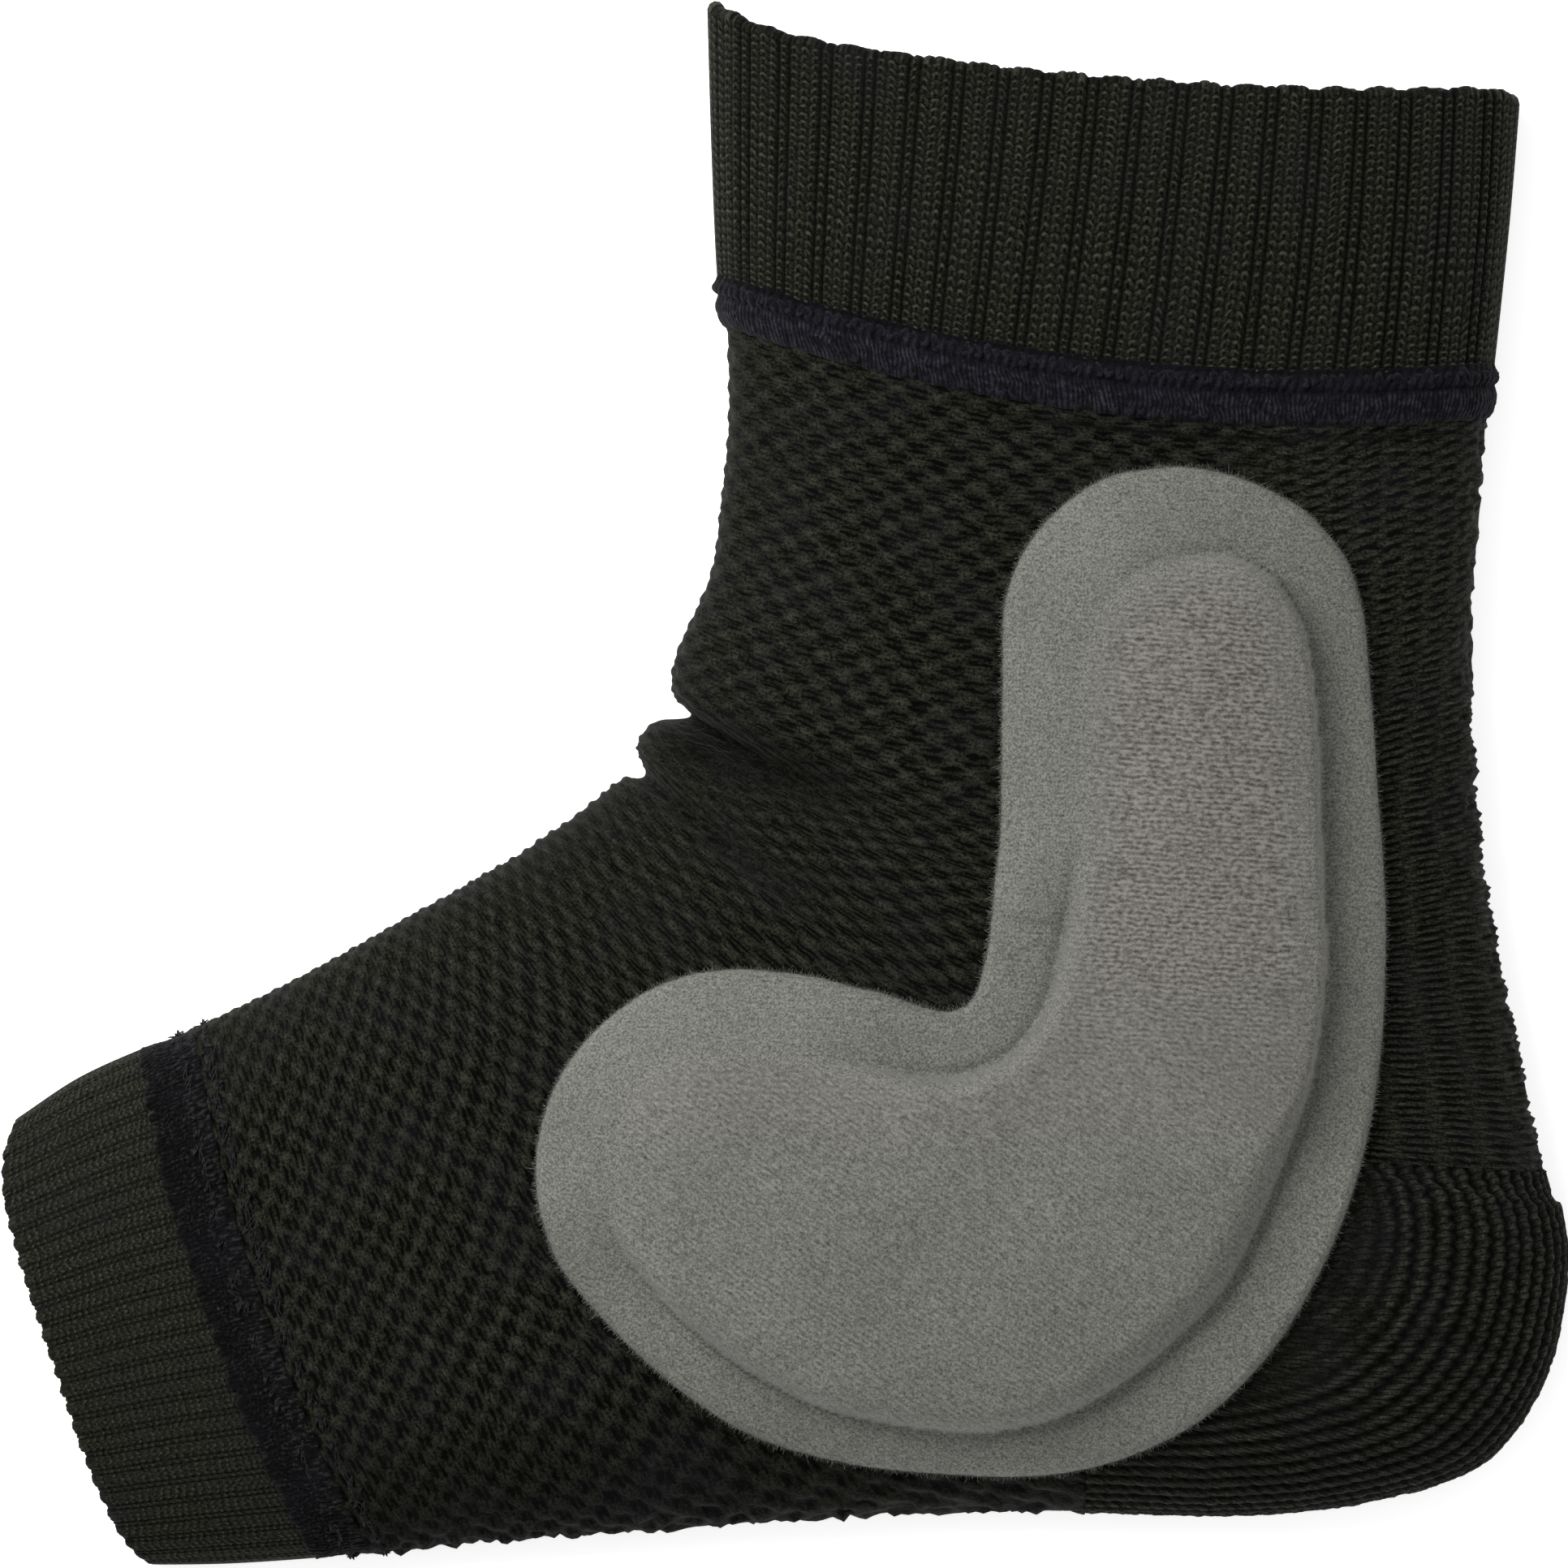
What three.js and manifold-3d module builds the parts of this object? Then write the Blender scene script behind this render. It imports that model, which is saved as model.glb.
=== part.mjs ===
// Knitted ankle brace lying on its side, with one raised velour pad round the ankle bone.
// Millimetres. +X points to the heel, +Y up the leg and +Z up from the table.
import * as THREE from 'three';
import { LoftGeometry } from 'three/addons/geometries/LoftGeometry.js';
import { mergeGeometries, mergeVertices } from 'three/addons/utils/BufferGeometryUtils.js';
import Module from 'manifold-3d';

const wasm = await Module();
wasm.setup();

// Knit tube, lying flat
const WALL = 2; // knit thickness
const GAP = 0.3; // clearance between neighbouring pieces
const FOLD_HEIGHT = 6; // side folds above the table
const SQUARENESS = 2.5; // superellipse power of the flattened section
const SETTLE = 7; // depth of underside that the table presses flat
const CREASE_REACH = 12; // length over which an instep fold fades, inwards from the front
const TIP_SHARPNESS = 20; // power that keeps the turned-up rim corner narrow
const ARC_SAMPLES = 400; // steps for measuring a section's length

// Facets of each tube: top and under count them round the section, rows and innerRows along the walls
const FACETS = {
  cuff: { rows: 4, innerRows: 2 },
  seam: { top: 32, under: 16, rows: 4, innerRows: 1 },
  sleeve: { top: 24, under: 10, rowsPerSection: 2 },
  heel: { rest: 8, under: 12, rows: 16, innerRows: 8 },
  toeBand: { top: 28, under: 14, rows: 2, innerRows: 1 },
  toeCuff: { rows: 2, innerRows: 1 },
};

// Rows run from the leg opening to the toe opening. front and back are the plan points of the two side
// folds, bow is the section's sag towards the toes, crown its height, crease the depth of an instep fold
// and tip the height of the turned-up corner of the rim.
const SECTIONS = [
  { at: 'leg_rim', front: [-9.8, 103.4], back: [99.5, 93.9], bow: 2.3, crown: 20, tip: 2.6 },
  { at: 'cuff_middle', front: [-9.7, 86.6], back: [98.0, 76.7], bow: 4, crown: 22 },
  { at: 'seam_top', front: [-8.9, 68.8], back: [95.9, 56.9], bow: 5.6, crown: 23 },
  { at: 'seam_foot', front: [-7.9, 62.2], back: [95.0, 49.8], bow: 5.6, crown: 23 },
  { at: 'shin_upper', front: [-7.7, 49.2], back: [94.3, 40.4], bow: 6, crown: 23 },
  { at: 'shin_middle', front: [-8.7, 38.2], back: [93.5, 29.4], bow: 7, crown: 23.5 },
  { at: 'shin_lower', front: [-10.8, 28.3], back: [92.9, 19.5], bow: 8, crown: 24 },
  { at: 'shin_foot', front: [-14.0, 18.9], back: [93.1, 9.6], bow: 9, crown: 24.5 },
  { at: 'upper_crest', front: [-15.9, 13.4], back: [93.9, -1.5], bow: 10, crown: 25 },
  { at: 'upper_fold', front: [-12.9, 9.5], back: [95.1, -13.5], bow: 10.5, crown: 25.5, crease: 4 },
  { at: 'lower_roll', front: [-17.7, 8.6], back: [96.6, -23.0], bow: 10.9, crown: 25.8, crease: 1 },
  { at: 'lower_crest', front: [-20.1, 5.4], back: [98.7, -32.8], bow: 11.3, crown: 26 },
  { at: 'lower_fold', front: [-19.0, 1.4], back: [103.2, -53.7], bow: 12, crown: 26.5, crease: 3 },
  { at: 'heel_top', front: [-21.3, 1.1], back: [105.2, -57.8], bow: 11.6, crown: 26.8 },
  { at: 'heel_back', front: [-23.2, 0.2], back: [106.0, -66.0], bow: 11, crown: 27 },
  { at: 'heel_turn', front: [-25.7, -1.9], back: [103.1, -80.1], bow: 10, crown: 27 },
  { at: 'heel_corner', front: [-29.4, -4.8], back: [94.9, -91.6], bow: 8.5, crown: 27 },
  { at: 'heel_under', front: [-32.7, -6.9], back: [80.6, -96.7], bow: 7, crown: 27 },
  { at: 'heel_sole', front: [-36.0, -9.3], back: [63.0, -98.8], bow: 5, crown: 26.5 },
  { at: 'arch_start', front: [-40.4, -11.8], back: [41.6, -98.5], bow: 3.5, crown: 26 },
  { at: 'arch_middle', front: [-44.8, -14.4], back: [20.1, -98.6], bow: 2, crown: 25 },
  { at: 'arch_end', front: [-51.4, -18.0], back: [-1.9, -99.8], bow: 1, crown: 24 },
  { at: 'foot_middle', front: [-60.2, -23.0], back: [-23.9, -101.3], bow: 1, crown: 23 },
  { at: 'foot_end', front: [-70.1, -28.2], back: [-41.5, -102.7], bow: 2, crown: 21.5 },
  { at: 'toe_seam', front: [-81.6, -33.6], back: [-58.0, -104.3], bow: 3, crown: 20 },
  { at: 'toe_seam_foot', front: [-86.8, -35.4], back: [-62.9, -104.9], bow: 3.3, crown: 19.5 },
  { at: 'toe_middle', front: [-95.8, -39.5], back: [-74.6, -105.7], bow: 4, crown: 18.5 },
  { at: 'toe_rim', front: [-105.2, -45.3], back: [-86.3, -106.2], bow: 4.8, crown: 17.5 },
];

// Rib counts over the top and the underside of each tube, and groove depths
const CUFF_RIBS = { top: 20, under: 18, depth: 0.7, scallop: 0.5 };
const TOE_RIBS = { top: 22, under: 20, depth: 0.5, scallop: 0.4 };
const RIB_SHARES = [0, 0.15, 0.85]; // groove and the two edges of a rib
const HEEL_RIB_PITCH = 2;
const HEEL_RIB_DEPTH = 0.5;
const HEEL_RIB_WIDTH = 32; // ribbed zone, measured from the back fold over the top
const HEEL_PROUD = 0.4;
const SEAM_PROUD = 1.2;
const SEAM_ROUNDING = [0.1, 0.9]; // part of a half turn that the seam's bulge covers
const TOE_CUFF_SUNK = 0.5;

// Heel pocket outline in plan: sole end, hidden corner below the ankle bone, and top line
const HEEL_SOLE_X = 40.7;
const HEEL_CORNERS = [[HEEL_SOLE_X, -88], [68, -50.2]];
const HEEL_TOP_BACK = [120, -55.8];
const BEYOND_SOLE = -130; // below every sole point in plan
const ABOVE_ALL = 60; // higher than the brace

// Pad, laid out like the tube: outer is its heel side, inner its side round the ankle bone, rise its
// cushion's share of full height
const PAD_ROWS = [
  { at: 'top_edge', outer: [57.2, 42.7], inner: [49.0, 42.6], rise: 0 },
  { at: 'top_flange', outer: [66.5, 39.6], inner: [41.5, 40.4], rise: 0 },
  { at: 'cushion_top', outer: [73.4, 34.0], inner: [35.2, 35.6], rise: 0.1 },
  { at: 'stem_top', outer: [77.1, 28.0], inner: [31.2, 29.3], rise: 1 },
  { at: 'stem_upper', outer: [79.0, 15.4], inner: [29.4, 16.5], rise: 1 },
  { at: 'stem_middle', outer: [80.2, -1.1], inner: [29.3, 1.0], rise: 1 },
  { at: 'stem_lower', outer: [81.3, -17.9], inner: [28.3, -13.5], rise: 1 },
  { at: 'bend_start', outer: [80.8, -34.0], inner: [26.6, -26.5], rise: 1 },
  { at: 'bend_outer', outer: [76.6, -56.0], inner: [23.6, -29.8], rise: 1 },
  { at: 'bend_middle', outer: [64.5, -77.0], inner: [19.5, -30.2], rise: 1 },
  { at: 'bend_end', outer: [45.4, -91.2], inner: [13.0, -28.6], rise: 1 },
  { at: 'lobe_start', outer: [23.0, -93.6], inner: [4.4, -26.2], rise: 1 },
  { at: 'lobe_middle', outer: [-3.5, -88.4], inner: [-6.0, -24.9], rise: 1 },
  { at: 'lobe_end', outer: [-19.5, -77.4], inner: [-18.0, -27.0], rise: 1 },
  { at: 'cushion_end', outer: [-28.6, -68.2], inner: [-26.4, -31.5], rise: 0.1 },
  { at: 'lobe_flange', outer: [-32.6, -60.5], inner: [-31.6, -39.5], rise: 0 },
  { at: 'lobe_edge', outer: [-33.4, -54.0], inner: [-33.3, -48.5], rise: 0 },
];
const PAD_FLANGE = { outer: 7.6, inner: 9.6, thickness: 1.3 };
const PAD_CUSHION = { height: 5.2, crown: 1, slope: 2.5 };
const CUSHION_STEPS = 6;
const FLANGE_SHARE_MAX = 0.3; // of a row's width, near the two rounded ends
const SLOPE_SHARE_MAX = 0.1;
const PAD_LIFT = 1; // height over the sleeve, which clears the heel ribs on the slope to the sole

const sectionColumns = SECTIONS.flatMap(({ front, back, bow, crown, crease = 0, tip = 0 }) => [
  ...front, ...back, bow, crown, crease, tip,
]);
const sectionSpline = splineOf(SECTIONS, sectionColumns);
const padColumns = PAD_ROWS.flatMap(({ outer, inner, rise }) => [...outer, ...inner, rise]);
const padSpline = splineOf(PAD_ROWS, padColumns);

function splineOf(rows, columns) {
  const numbers = rows.map((row, number) => number);
  return new THREE.CubicInterpolant(numbers, columns, columns.length / rows.length);
}

function rowOf(name) {
  return SECTIONS.findIndex((row) => row.at === name);
}

function steps(from, to, count) {
  return Array.from({ length: count + 1 }, (_, i) => from + (to - from) * i / count);
}

function rounded(value) {
  return Math.sign(value) * Math.abs(value) ** (2 / SQUARENESS);
}

// One point of the tube. place counts table rows, angle goes round from the back fold over the top,
// inset moves the point into the tube and slide moves it towards the toes.
function skinPoint(place, angle, inset, slide) {
  const [frontX, frontY, backX, backY, bow, crown, crease, tip] = sectionSpline.evaluate(place);
  const across = new THREE.Vector2(backX - frontX, backY - frontY);
  const half = across.length() / 2;
  across.normalize();
  const reach = rounded(Math.cos(angle));
  const rise = Math.abs(rounded(Math.sin(angle)));
  const distance = half + reach * (half - inset);
  const sink = crease * Math.exp(-distance / CREASE_REACH);
  const over = FOLD_HEIGHT + (crown - FOLD_HEIGHT - inset - sink) * rise;
  const under = Math.max(inset, 0, FOLD_HEIGHT - (FOLD_HEIGHT + SETTLE - inset) * rise);
  const turnUp = tip * Math.max(0, -reach) ** TIP_SHARPNESS;
  const along = slide + bow * (1 - reach * reach) - turnUp;
  return new THREE.Vector3(
    frontX + across.x * distance + across.y * along,
    frontY + across.y * distance - across.x * along,
    Math.sin(angle) > 0 ? over : under,
  );
}

// Angles at given shares of the knit's length between two angles of a section
function anglesAt(place, from, to, shares) {
  const angles = steps(from, to, ARC_SAMPLES);
  const lengths = [0];
  for (let i = 1; i < angles.length; i += 1) {
    const before = skinPoint(place, angles[i - 1], 0, 0);
    lengths.push(lengths[i - 1] + before.distanceTo(skinPoint(place, angles[i], 0, 0)));
  }
  const whole = lengths[lengths.length - 1];
  const table = new THREE.LinearInterpolant(lengths, angles, 1);
  return shares.map((share) => table.evaluate(share * whole)[0]);
}

function ringOf(place, topShares, underShares) {
  const top = anglesAt(place, 0, Math.PI, topShares);
  const under = anglesAt(place, Math.PI, 2 * Math.PI, underShares);
  return [...top, ...under];
}

function plainRing(place, { top, under }) {
  const angles = ringOf(place, steps(0, 1, top).slice(0, -1), steps(0, 1, under).slice(0, -1));
  return angles.map((angle) => ({ angle, groove: 0 }));
}

function ribbedRing(place, ribs) {
  const shares = (count) => steps(0, 1, count).slice(0, -1).flatMap(
    (start) => RIB_SHARES.map((share) => start + share / count),
  );
  const angles = ringOf(place, shares(ribs.top), shares(ribs.under));
  return angles.map((angle, i) => ({ angle, groove: i % RIB_SHARES.length === 0 ? 1 : 0 }));
}

// A closed wall: outer rings down the tube, inner rings back up, and the first ring again.
// proud gives the outer surface's height over the table's section at each share of the length, and rim
// the scallop of an open end.
function knitWall({ from, to, rows, innerRows, ring, proud = () => 0, depth = 0, rim = {} }) {
  const slideAt = (place, groove) => {
    const start = rim.start ? rim.start * groove : GAP / 2;
    const end = rim.end ? -rim.end * groove : -GAP / 2;
    return place === from ? start : (place === to ? end : 0);
  };
  const outer = steps(from, to, rows).map((place) => ring.map(({ angle, groove }) => {
    const inset = groove * depth - proud((place - from) / (to - from));
    return skinPoint(place, angle, inset, slideAt(place, groove));
  }));
  const inner = steps(from, to, innerRows).map((place) => ring.map(({ angle, groove }) => (
    skinPoint(place, angle, WALL, slideAt(place, groove))
  )));
  return new LoftGeometry([...outer, ...inner.reverse(), outer[0]]);
}

function solidOf(geometry) {
  const plain = new THREE.BufferGeometry().copy(geometry);
  plain.deleteAttribute('normal');
  plain.deleteAttribute('uv');
  const merged = mergeVertices(plain);
  const vertProperties = new Float32Array(merged.attributes.position.array);
  const triVerts = new Uint32Array(merged.index.array);
  return new wasm.Manifold(new wasm.Mesh({ numProp: 3, vertProperties, triVerts }));
}

function geometryOf(solid) {
  const { vertProperties, triVerts } = solid.getMesh();
  const geometry = new THREE.BufferGeometry();
  geometry.setAttribute('position', new THREE.BufferAttribute(vertProperties, 3));
  geometry.setIndex(new THREE.BufferAttribute(triVerts, 1));
  geometry.computeVertexNormals();
  return geometry;
}

// Everything behind the heel pocket's three seams, in plan
function heelPrism(grow) {
  const outline = [
    [HEEL_SOLE_X, BEYOND_SOLE],
    [HEEL_TOP_BACK[0], BEYOND_SOLE],
    HEEL_TOP_BACK,
    ...HEEL_CORNERS.toReversed(),
  ];
  const shape = new THREE.Shape(outline.map(([x, y]) => new THREE.Vector2(x - grow, y + grow)));
  const geometry = new THREE.ExtrudeGeometry(shape, { depth: 2 * ABOVE_ALL, bevelEnabled: false });
  return solidOf(geometry.translate(0, 0, -ABOVE_ALL));
}

function cuffGeometry() {
  const [from, to] = [rowOf('leg_rim'), rowOf('seam_top')];
  const ring = ribbedRing(rowOf('cuff_middle'), CUFF_RIBS);
  const rim = { start: CUFF_RIBS.scallop };
  return knitWall({ from, to, ...FACETS.cuff, ring, depth: CUFF_RIBS.depth, rim });
}

function seamGeometry() {
  const [from, to] = [rowOf('seam_top'), rowOf('seam_foot')];
  const proud = (share) => SEAM_PROUD * Math.sin(Math.PI * THREE.MathUtils.lerp(...SEAM_ROUNDING, share));
  return knitWall({ from, to, ...FACETS.seam, ring: plainRing(from, FACETS.seam), proud });
}

function sleeveGeometry() {
  const [from, to] = [rowOf('seam_foot'), rowOf('toe_seam')];
  const ring = plainRing(rowOf('upper_fold'), FACETS.sleeve);
  const innerRows = to - from;
  return knitWall({ from, to, rows: FACETS.sleeve.rowsPerSection * innerRows, innerRows, ring });
}

function heelGeometry() {
  const [from, to] = [rowOf('lower_crest'), rowOf('arch_middle')];
  const place = rowOf('heel_turn');
  const whole = skinPoint(place, 0, 0, 0).distanceTo(skinPoint(place, Math.PI, 0, 0));
  const ribs = steps(0, HEEL_RIB_WIDTH / whole, 2 * HEEL_RIB_WIDTH / HEEL_RIB_PITCH);
  const rest = steps(HEEL_RIB_WIDTH / whole, 1, FACETS.heel.rest).slice(1, -1);
  const angles = ringOf(place, [...ribs, ...rest], steps(0, 1, FACETS.heel.under).slice(0, -1));
  const ring = angles.map((angle, i) => ({ angle, groove: i < ribs.length ? i % 2 : 0 }));
  const proud = () => HEEL_PROUD;
  return knitWall({ from, to, ...FACETS.heel, ring, proud, depth: HEEL_RIB_DEPTH });
}

function toeBandGeometry() {
  const [from, to] = [rowOf('toe_seam'), rowOf('toe_seam_foot')];
  return knitWall({ from, to, ...FACETS.toeBand, ring: plainRing(from, FACETS.toeBand) });
}

function toeCuffGeometry() {
  const [from, to] = [rowOf('toe_seam_foot'), rowOf('toe_rim')];
  const ring = ribbedRing(rowOf('toe_middle'), TOE_RIBS);
  const proud = () => -TOE_CUFF_SUNK;
  const rim = { end: TOE_RIBS.scallop };
  return knitWall({ from, to, ...FACETS.toeCuff, ring, proud, depth: TOE_RIBS.depth, rim });
}

// The pad follows the sleeve below it: each row's profile runs over the flange and the cushion from the
// heel side to the ankle bone and back along the underside.
function padGeometry(sleeve) {
  const below = new THREE.Mesh(sleeve, new THREE.MeshBasicMaterial());
  const ray = new THREE.Raycaster();
  const down = new THREE.Vector3(0, 0, -1);
  const restOn = (point) => {
    ray.set(new THREE.Vector3(point.x, point.y, ABOVE_ALL), down);
    return ray.intersectObject(below)[0].point.z + PAD_LIFT;
  };
  const sections = steps(0, PAD_ROWS.length - 1, 2 * (PAD_ROWS.length - 1)).map((place) => {
    const [outerX, outerY, innerX, innerY, riseShare] = padSpline.evaluate(place);
    const outer = new THREE.Vector2(outerX, outerY);
    const inner = new THREE.Vector2(innerX, innerY);
    const width = outer.distanceTo(inner);
    const rise = THREE.MathUtils.clamp(riseShare, 0, 1);
    const foot = Math.min(PAD_FLANGE.outer / width, FLANGE_SHARE_MAX);
    const farFoot = 1 - Math.min(PAD_FLANGE.inner / width, FLANGE_SHARE_MAX);
    const slope = Math.min(PAD_CUSHION.slope / width, SLOPE_SHARE_MAX);
    const flat = PAD_FLANGE.thickness;
    const cushion = steps(0, 1, CUSHION_STEPS).map((share) => [
      THREE.MathUtils.lerp(foot + slope, farFoot - slope, share),
      flat + rise * (PAD_CUSHION.height + PAD_CUSHION.crown * Math.sin(Math.PI * share)),
    ]);
    const profile = [[0, flat], [foot / 2, flat], [foot, flat], ...cushion, [farFoot, flat], [1, flat]];
    const pointAt = (part, height) => {
      const plan = outer.clone().lerp(inner, part);
      return new THREE.Vector3(plan.x, plan.y, restOn(plan) + height);
    };
    return {
      over: profile.map(([part, height]) => pointAt(part, height)),
      under: profile.map(([part]) => pointAt(part, 0)),
    };
  });
  const first = sections[0];
  const last = sections[sections.length - 1];
  return mergeGeometries([
    new LoftGeometry(sections.map(({ over, under }) => [...over, ...under.toReversed()])),
    new LoftGeometry([first.under, first.over], { closed: false }),
    new LoftGeometry([last.over, last.under], { closed: false }),
  ]);
}

function cloth(color, roughness) {
  return new THREE.MeshStandardMaterial({ color, roughness, metalness: 0 });
}

const sleeveTube = sleeveGeometry();
const sleeve = geometryOf(solidOf(sleeveTube).subtract(heelPrism(GAP)));
const heelCup = geometryOf(solidOf(heelGeometry()).intersect(heelPrism(0)));
const pieces = [
  ['cuff', cuffGeometry(), cloth(0x2a2824, 0.9)],
  ['seam_band', seamGeometry(), cloth(0x21202a, 0.8)],
  ['sleeve', sleeve, cloth(0x21211d, 0.9)],
  ['heel_cup', heelCup, cloth(0x1c1c19, 0.9)],
  ['toe_band', toeBandGeometry(), cloth(0x16161c, 0.95)],
  ['toe_cuff', toeCuffGeometry(), cloth(0x26251f, 0.9)],
  ['ankle_pad', padGeometry(sleeveTube), cloth(0x82807a, 0.95)],
];

const brace = new THREE.Group();
for (const [name, geometry, material] of pieces) {
  const mesh = new THREE.Mesh(geometry, material);
  mesh.name = name;
  brace.add(mesh);
}
const box = new THREE.Box3().setFromObject(brace);
const middle = box.getCenter(new THREE.Vector3());
brace.position.set(-middle.x, -middle.y, -box.min.z);

export default brace;
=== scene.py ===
import math
import bmesh
import bpy
import numpy as np
from mathutils import Matrix, Vector
from mathutils.bvhtree import BVHTree


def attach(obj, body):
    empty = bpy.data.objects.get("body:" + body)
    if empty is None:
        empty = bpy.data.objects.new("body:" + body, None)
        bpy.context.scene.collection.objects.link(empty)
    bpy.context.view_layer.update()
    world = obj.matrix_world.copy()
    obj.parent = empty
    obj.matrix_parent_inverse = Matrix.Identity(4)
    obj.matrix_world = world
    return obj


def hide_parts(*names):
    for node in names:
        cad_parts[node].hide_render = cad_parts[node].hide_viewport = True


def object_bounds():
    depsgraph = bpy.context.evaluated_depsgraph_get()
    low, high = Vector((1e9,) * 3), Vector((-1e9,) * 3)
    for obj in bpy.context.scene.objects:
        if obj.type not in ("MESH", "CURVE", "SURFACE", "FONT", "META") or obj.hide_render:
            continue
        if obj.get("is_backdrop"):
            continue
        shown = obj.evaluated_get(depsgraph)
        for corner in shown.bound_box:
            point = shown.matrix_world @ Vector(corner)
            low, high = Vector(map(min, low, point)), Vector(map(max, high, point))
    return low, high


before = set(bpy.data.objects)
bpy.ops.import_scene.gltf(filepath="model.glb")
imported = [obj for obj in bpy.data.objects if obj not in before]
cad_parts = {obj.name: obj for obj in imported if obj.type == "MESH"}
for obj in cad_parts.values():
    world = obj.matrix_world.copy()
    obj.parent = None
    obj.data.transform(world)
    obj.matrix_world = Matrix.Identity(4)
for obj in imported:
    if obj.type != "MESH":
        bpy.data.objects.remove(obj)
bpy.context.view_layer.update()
print("frame loaded")

mm = 0.001

# the knit tube as it lies, in mm. Each row: front fold x y, back fold x y,
# bow to the toes, crown height, depth of an instep crease, turned-up front corner of a rim
brace = {
    "wall": 2.0, "foldHeight": 6.0, "squareness": 2.5, "settle": 7.0,
    "creaseReach": 15.0, "tipPower": 9, "corner": 0.45, "cornerPower": 24, "shift": (-0.701, -0.127),
    "rows": [
        (-10.5, 103.4, 99.5, 94.7, 3.0, 20.0, 0, 2.9),  # 0 leg rim
        (-9.7, 86.6, 98.0, 76.7, 4.0, 22.0, 0, 0),
        (-8.9, 68.8, 95.9, 56.9, 5.6, 23.0, 0, 0),  # 2 seam
        (-7.9, 62.2, 95.0, 49.8, 5.6, 23.0, 0, 0),  # 3 sleeve starts
        (-7.7, 49.2, 94.3, 40.4, 6.0, 23.0, 0, 0),
        (-8.7, 38.2, 93.5, 29.4, 7.0, 23.5, 0, 0),
        (-10.2, 28.3, 92.9, 19.5, 8.0, 24.0, 0, 0),
        (-14.8, 17.6, 93.1, 9.6, 9.0, 24.5, 0, 0),
        (-15.2, 12.3, 93.9, -1.5, 10.0, 25.0, 0, 0),  # 8 upper crest
        (-12.9, 9.4, 95.1, -13.5, 10.5, 25.5, 7, 0),  # 9 upper fold
        (-17.7, 8.6, 96.6, -23.0, 10.9, 25.8, 1, 0),
        (-20.1, 5.4, 98.7, -32.8, 11.3, 26.0, 0, 0),  # 11 lower crest
        (-19.0, 1.4, 103.2, -53.7, 12.0, 26.5, 3, 0),  # 12 lower fold
        (-21.3, 1.1, 105.2, -57.8, 11.6, 26.8, 0, 0),
        (-23.2, 0.2, 106.0, -66.0, 11.0, 27.0, 0, 0),
        (-25.7, -1.9, 103.1, -80.1, 10.0, 27.0, 0, 0),
        (-29.4, -4.8, 94.9, -91.6, 8.5, 27.0, 0, 0),  # 16 heel corner
        (-32.7, -6.9, 80.6, -96.7, 7.0, 27.0, 0, 0),
        (-36.0, -9.3, 63.0, -98.8, 5.0, 26.5, 0, 0),
        (-40.4, -11.8, 41.6, -98.5, 3.5, 26.0, 0, 0),  # 19 arch
        (-44.8, -14.4, 20.1, -98.6, 2.0, 25.0, 0, 0),
        (-51.4, -18.0, -1.9, -99.8, 1.0, 24.0, 0, 0),
        (-60.2, -23.0, -23.9, -101.3, 1.0, 23.0, 0, 0),
        (-70.1, -28.2, -41.5, -102.7, 2.0, 21.5, 0, 0),
        (-81.6, -33.6, -58.0, -104.3, 3.0, 20.0, 0, 0),  # 24 toe band
        (-86.8, -35.4, -62.9, -104.9, 3.3, 19.5, 0, 0),  # 25 toe cuff
        (-95.8, -39.5, -74.6, -105.7, 3.4, 18.5, 0, 0),
        (-106.8, -45.9, -86.8, -106.3, 2.6, 17.5, 0, 2.8),  # 27 toe rim
    ],
}


def ease(low, high, value):
    s = np.clip((value - low) / (high - low), 0, 1)
    return s * s * (3 - 2 * s)


def through(a, b, c, d, p):  # smooth curve from b to c
    return b + 0.5 * p * (c - a + p * (2 * a - 5 * b + 4 * c - d + p * (3 * (b - c) + d - a)))


def alongRows(rows, place):  # smooth curve through a table's rows
    rows = np.asarray(rows, float)
    full = np.vstack([2 * rows[0] - rows[1], rows, 2 * rows[-1] - rows[-2]])
    k = np.clip(np.floor(place).astype(int), 0, len(rows) - 2)
    return through(full[k], full[k + 1], full[k + 2], full[k + 3], (place - k)[..., None])


def skin(place, angle, inset=0.0, slide=0.0):  # a point of the tube, in mm
    row = alongRows(brace["rows"], place)
    front, back = row[..., 0:2], row[..., 2:4]
    bow, crown, crease, tip = (row[..., i] for i in range(4, 8))
    across = back - front
    span = np.linalg.norm(across, axis=-1)
    across = across / span[..., None]
    power = 2 / brace["squareness"]
    reach = np.sign(np.cos(angle)) * np.abs(np.cos(angle)) ** power
    rise = np.abs(np.sin(angle)) ** power
    distance = span / 2 + reach * (span / 2 - inset)
    low = brace["foldHeight"]
    sink = crease * np.exp(-distance / brace["creaseReach"])
    over = low + (crown - low - inset - sink) * rise
    under = np.maximum(np.maximum(inset, 0), low - (low + brace["settle"] - inset) * rise)
    square = 2 + 2 * ease(24, 27, place)  # the toe rim bows less evenly
    along = slide + bow * (1 - np.abs(reach) ** square) - tip * np.maximum(0, -reach) ** brace["tipPower"]
    corner = brace["corner"] * np.maximum(0, reach) ** brace["cornerPower"]  # rounded back corners
    along = along + np.where(place < 12, tip, -tip) * corner
    x = front[..., 0] + across[..., 0] * distance + across[..., 1] * along + brace["shift"][0]
    y = front[..., 1] + across[..., 1] * distance - across[..., 0] * along + brace["shift"][1]
    return np.stack([x, y, np.where(np.sin(angle) > 0, over, under)], -1)


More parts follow.
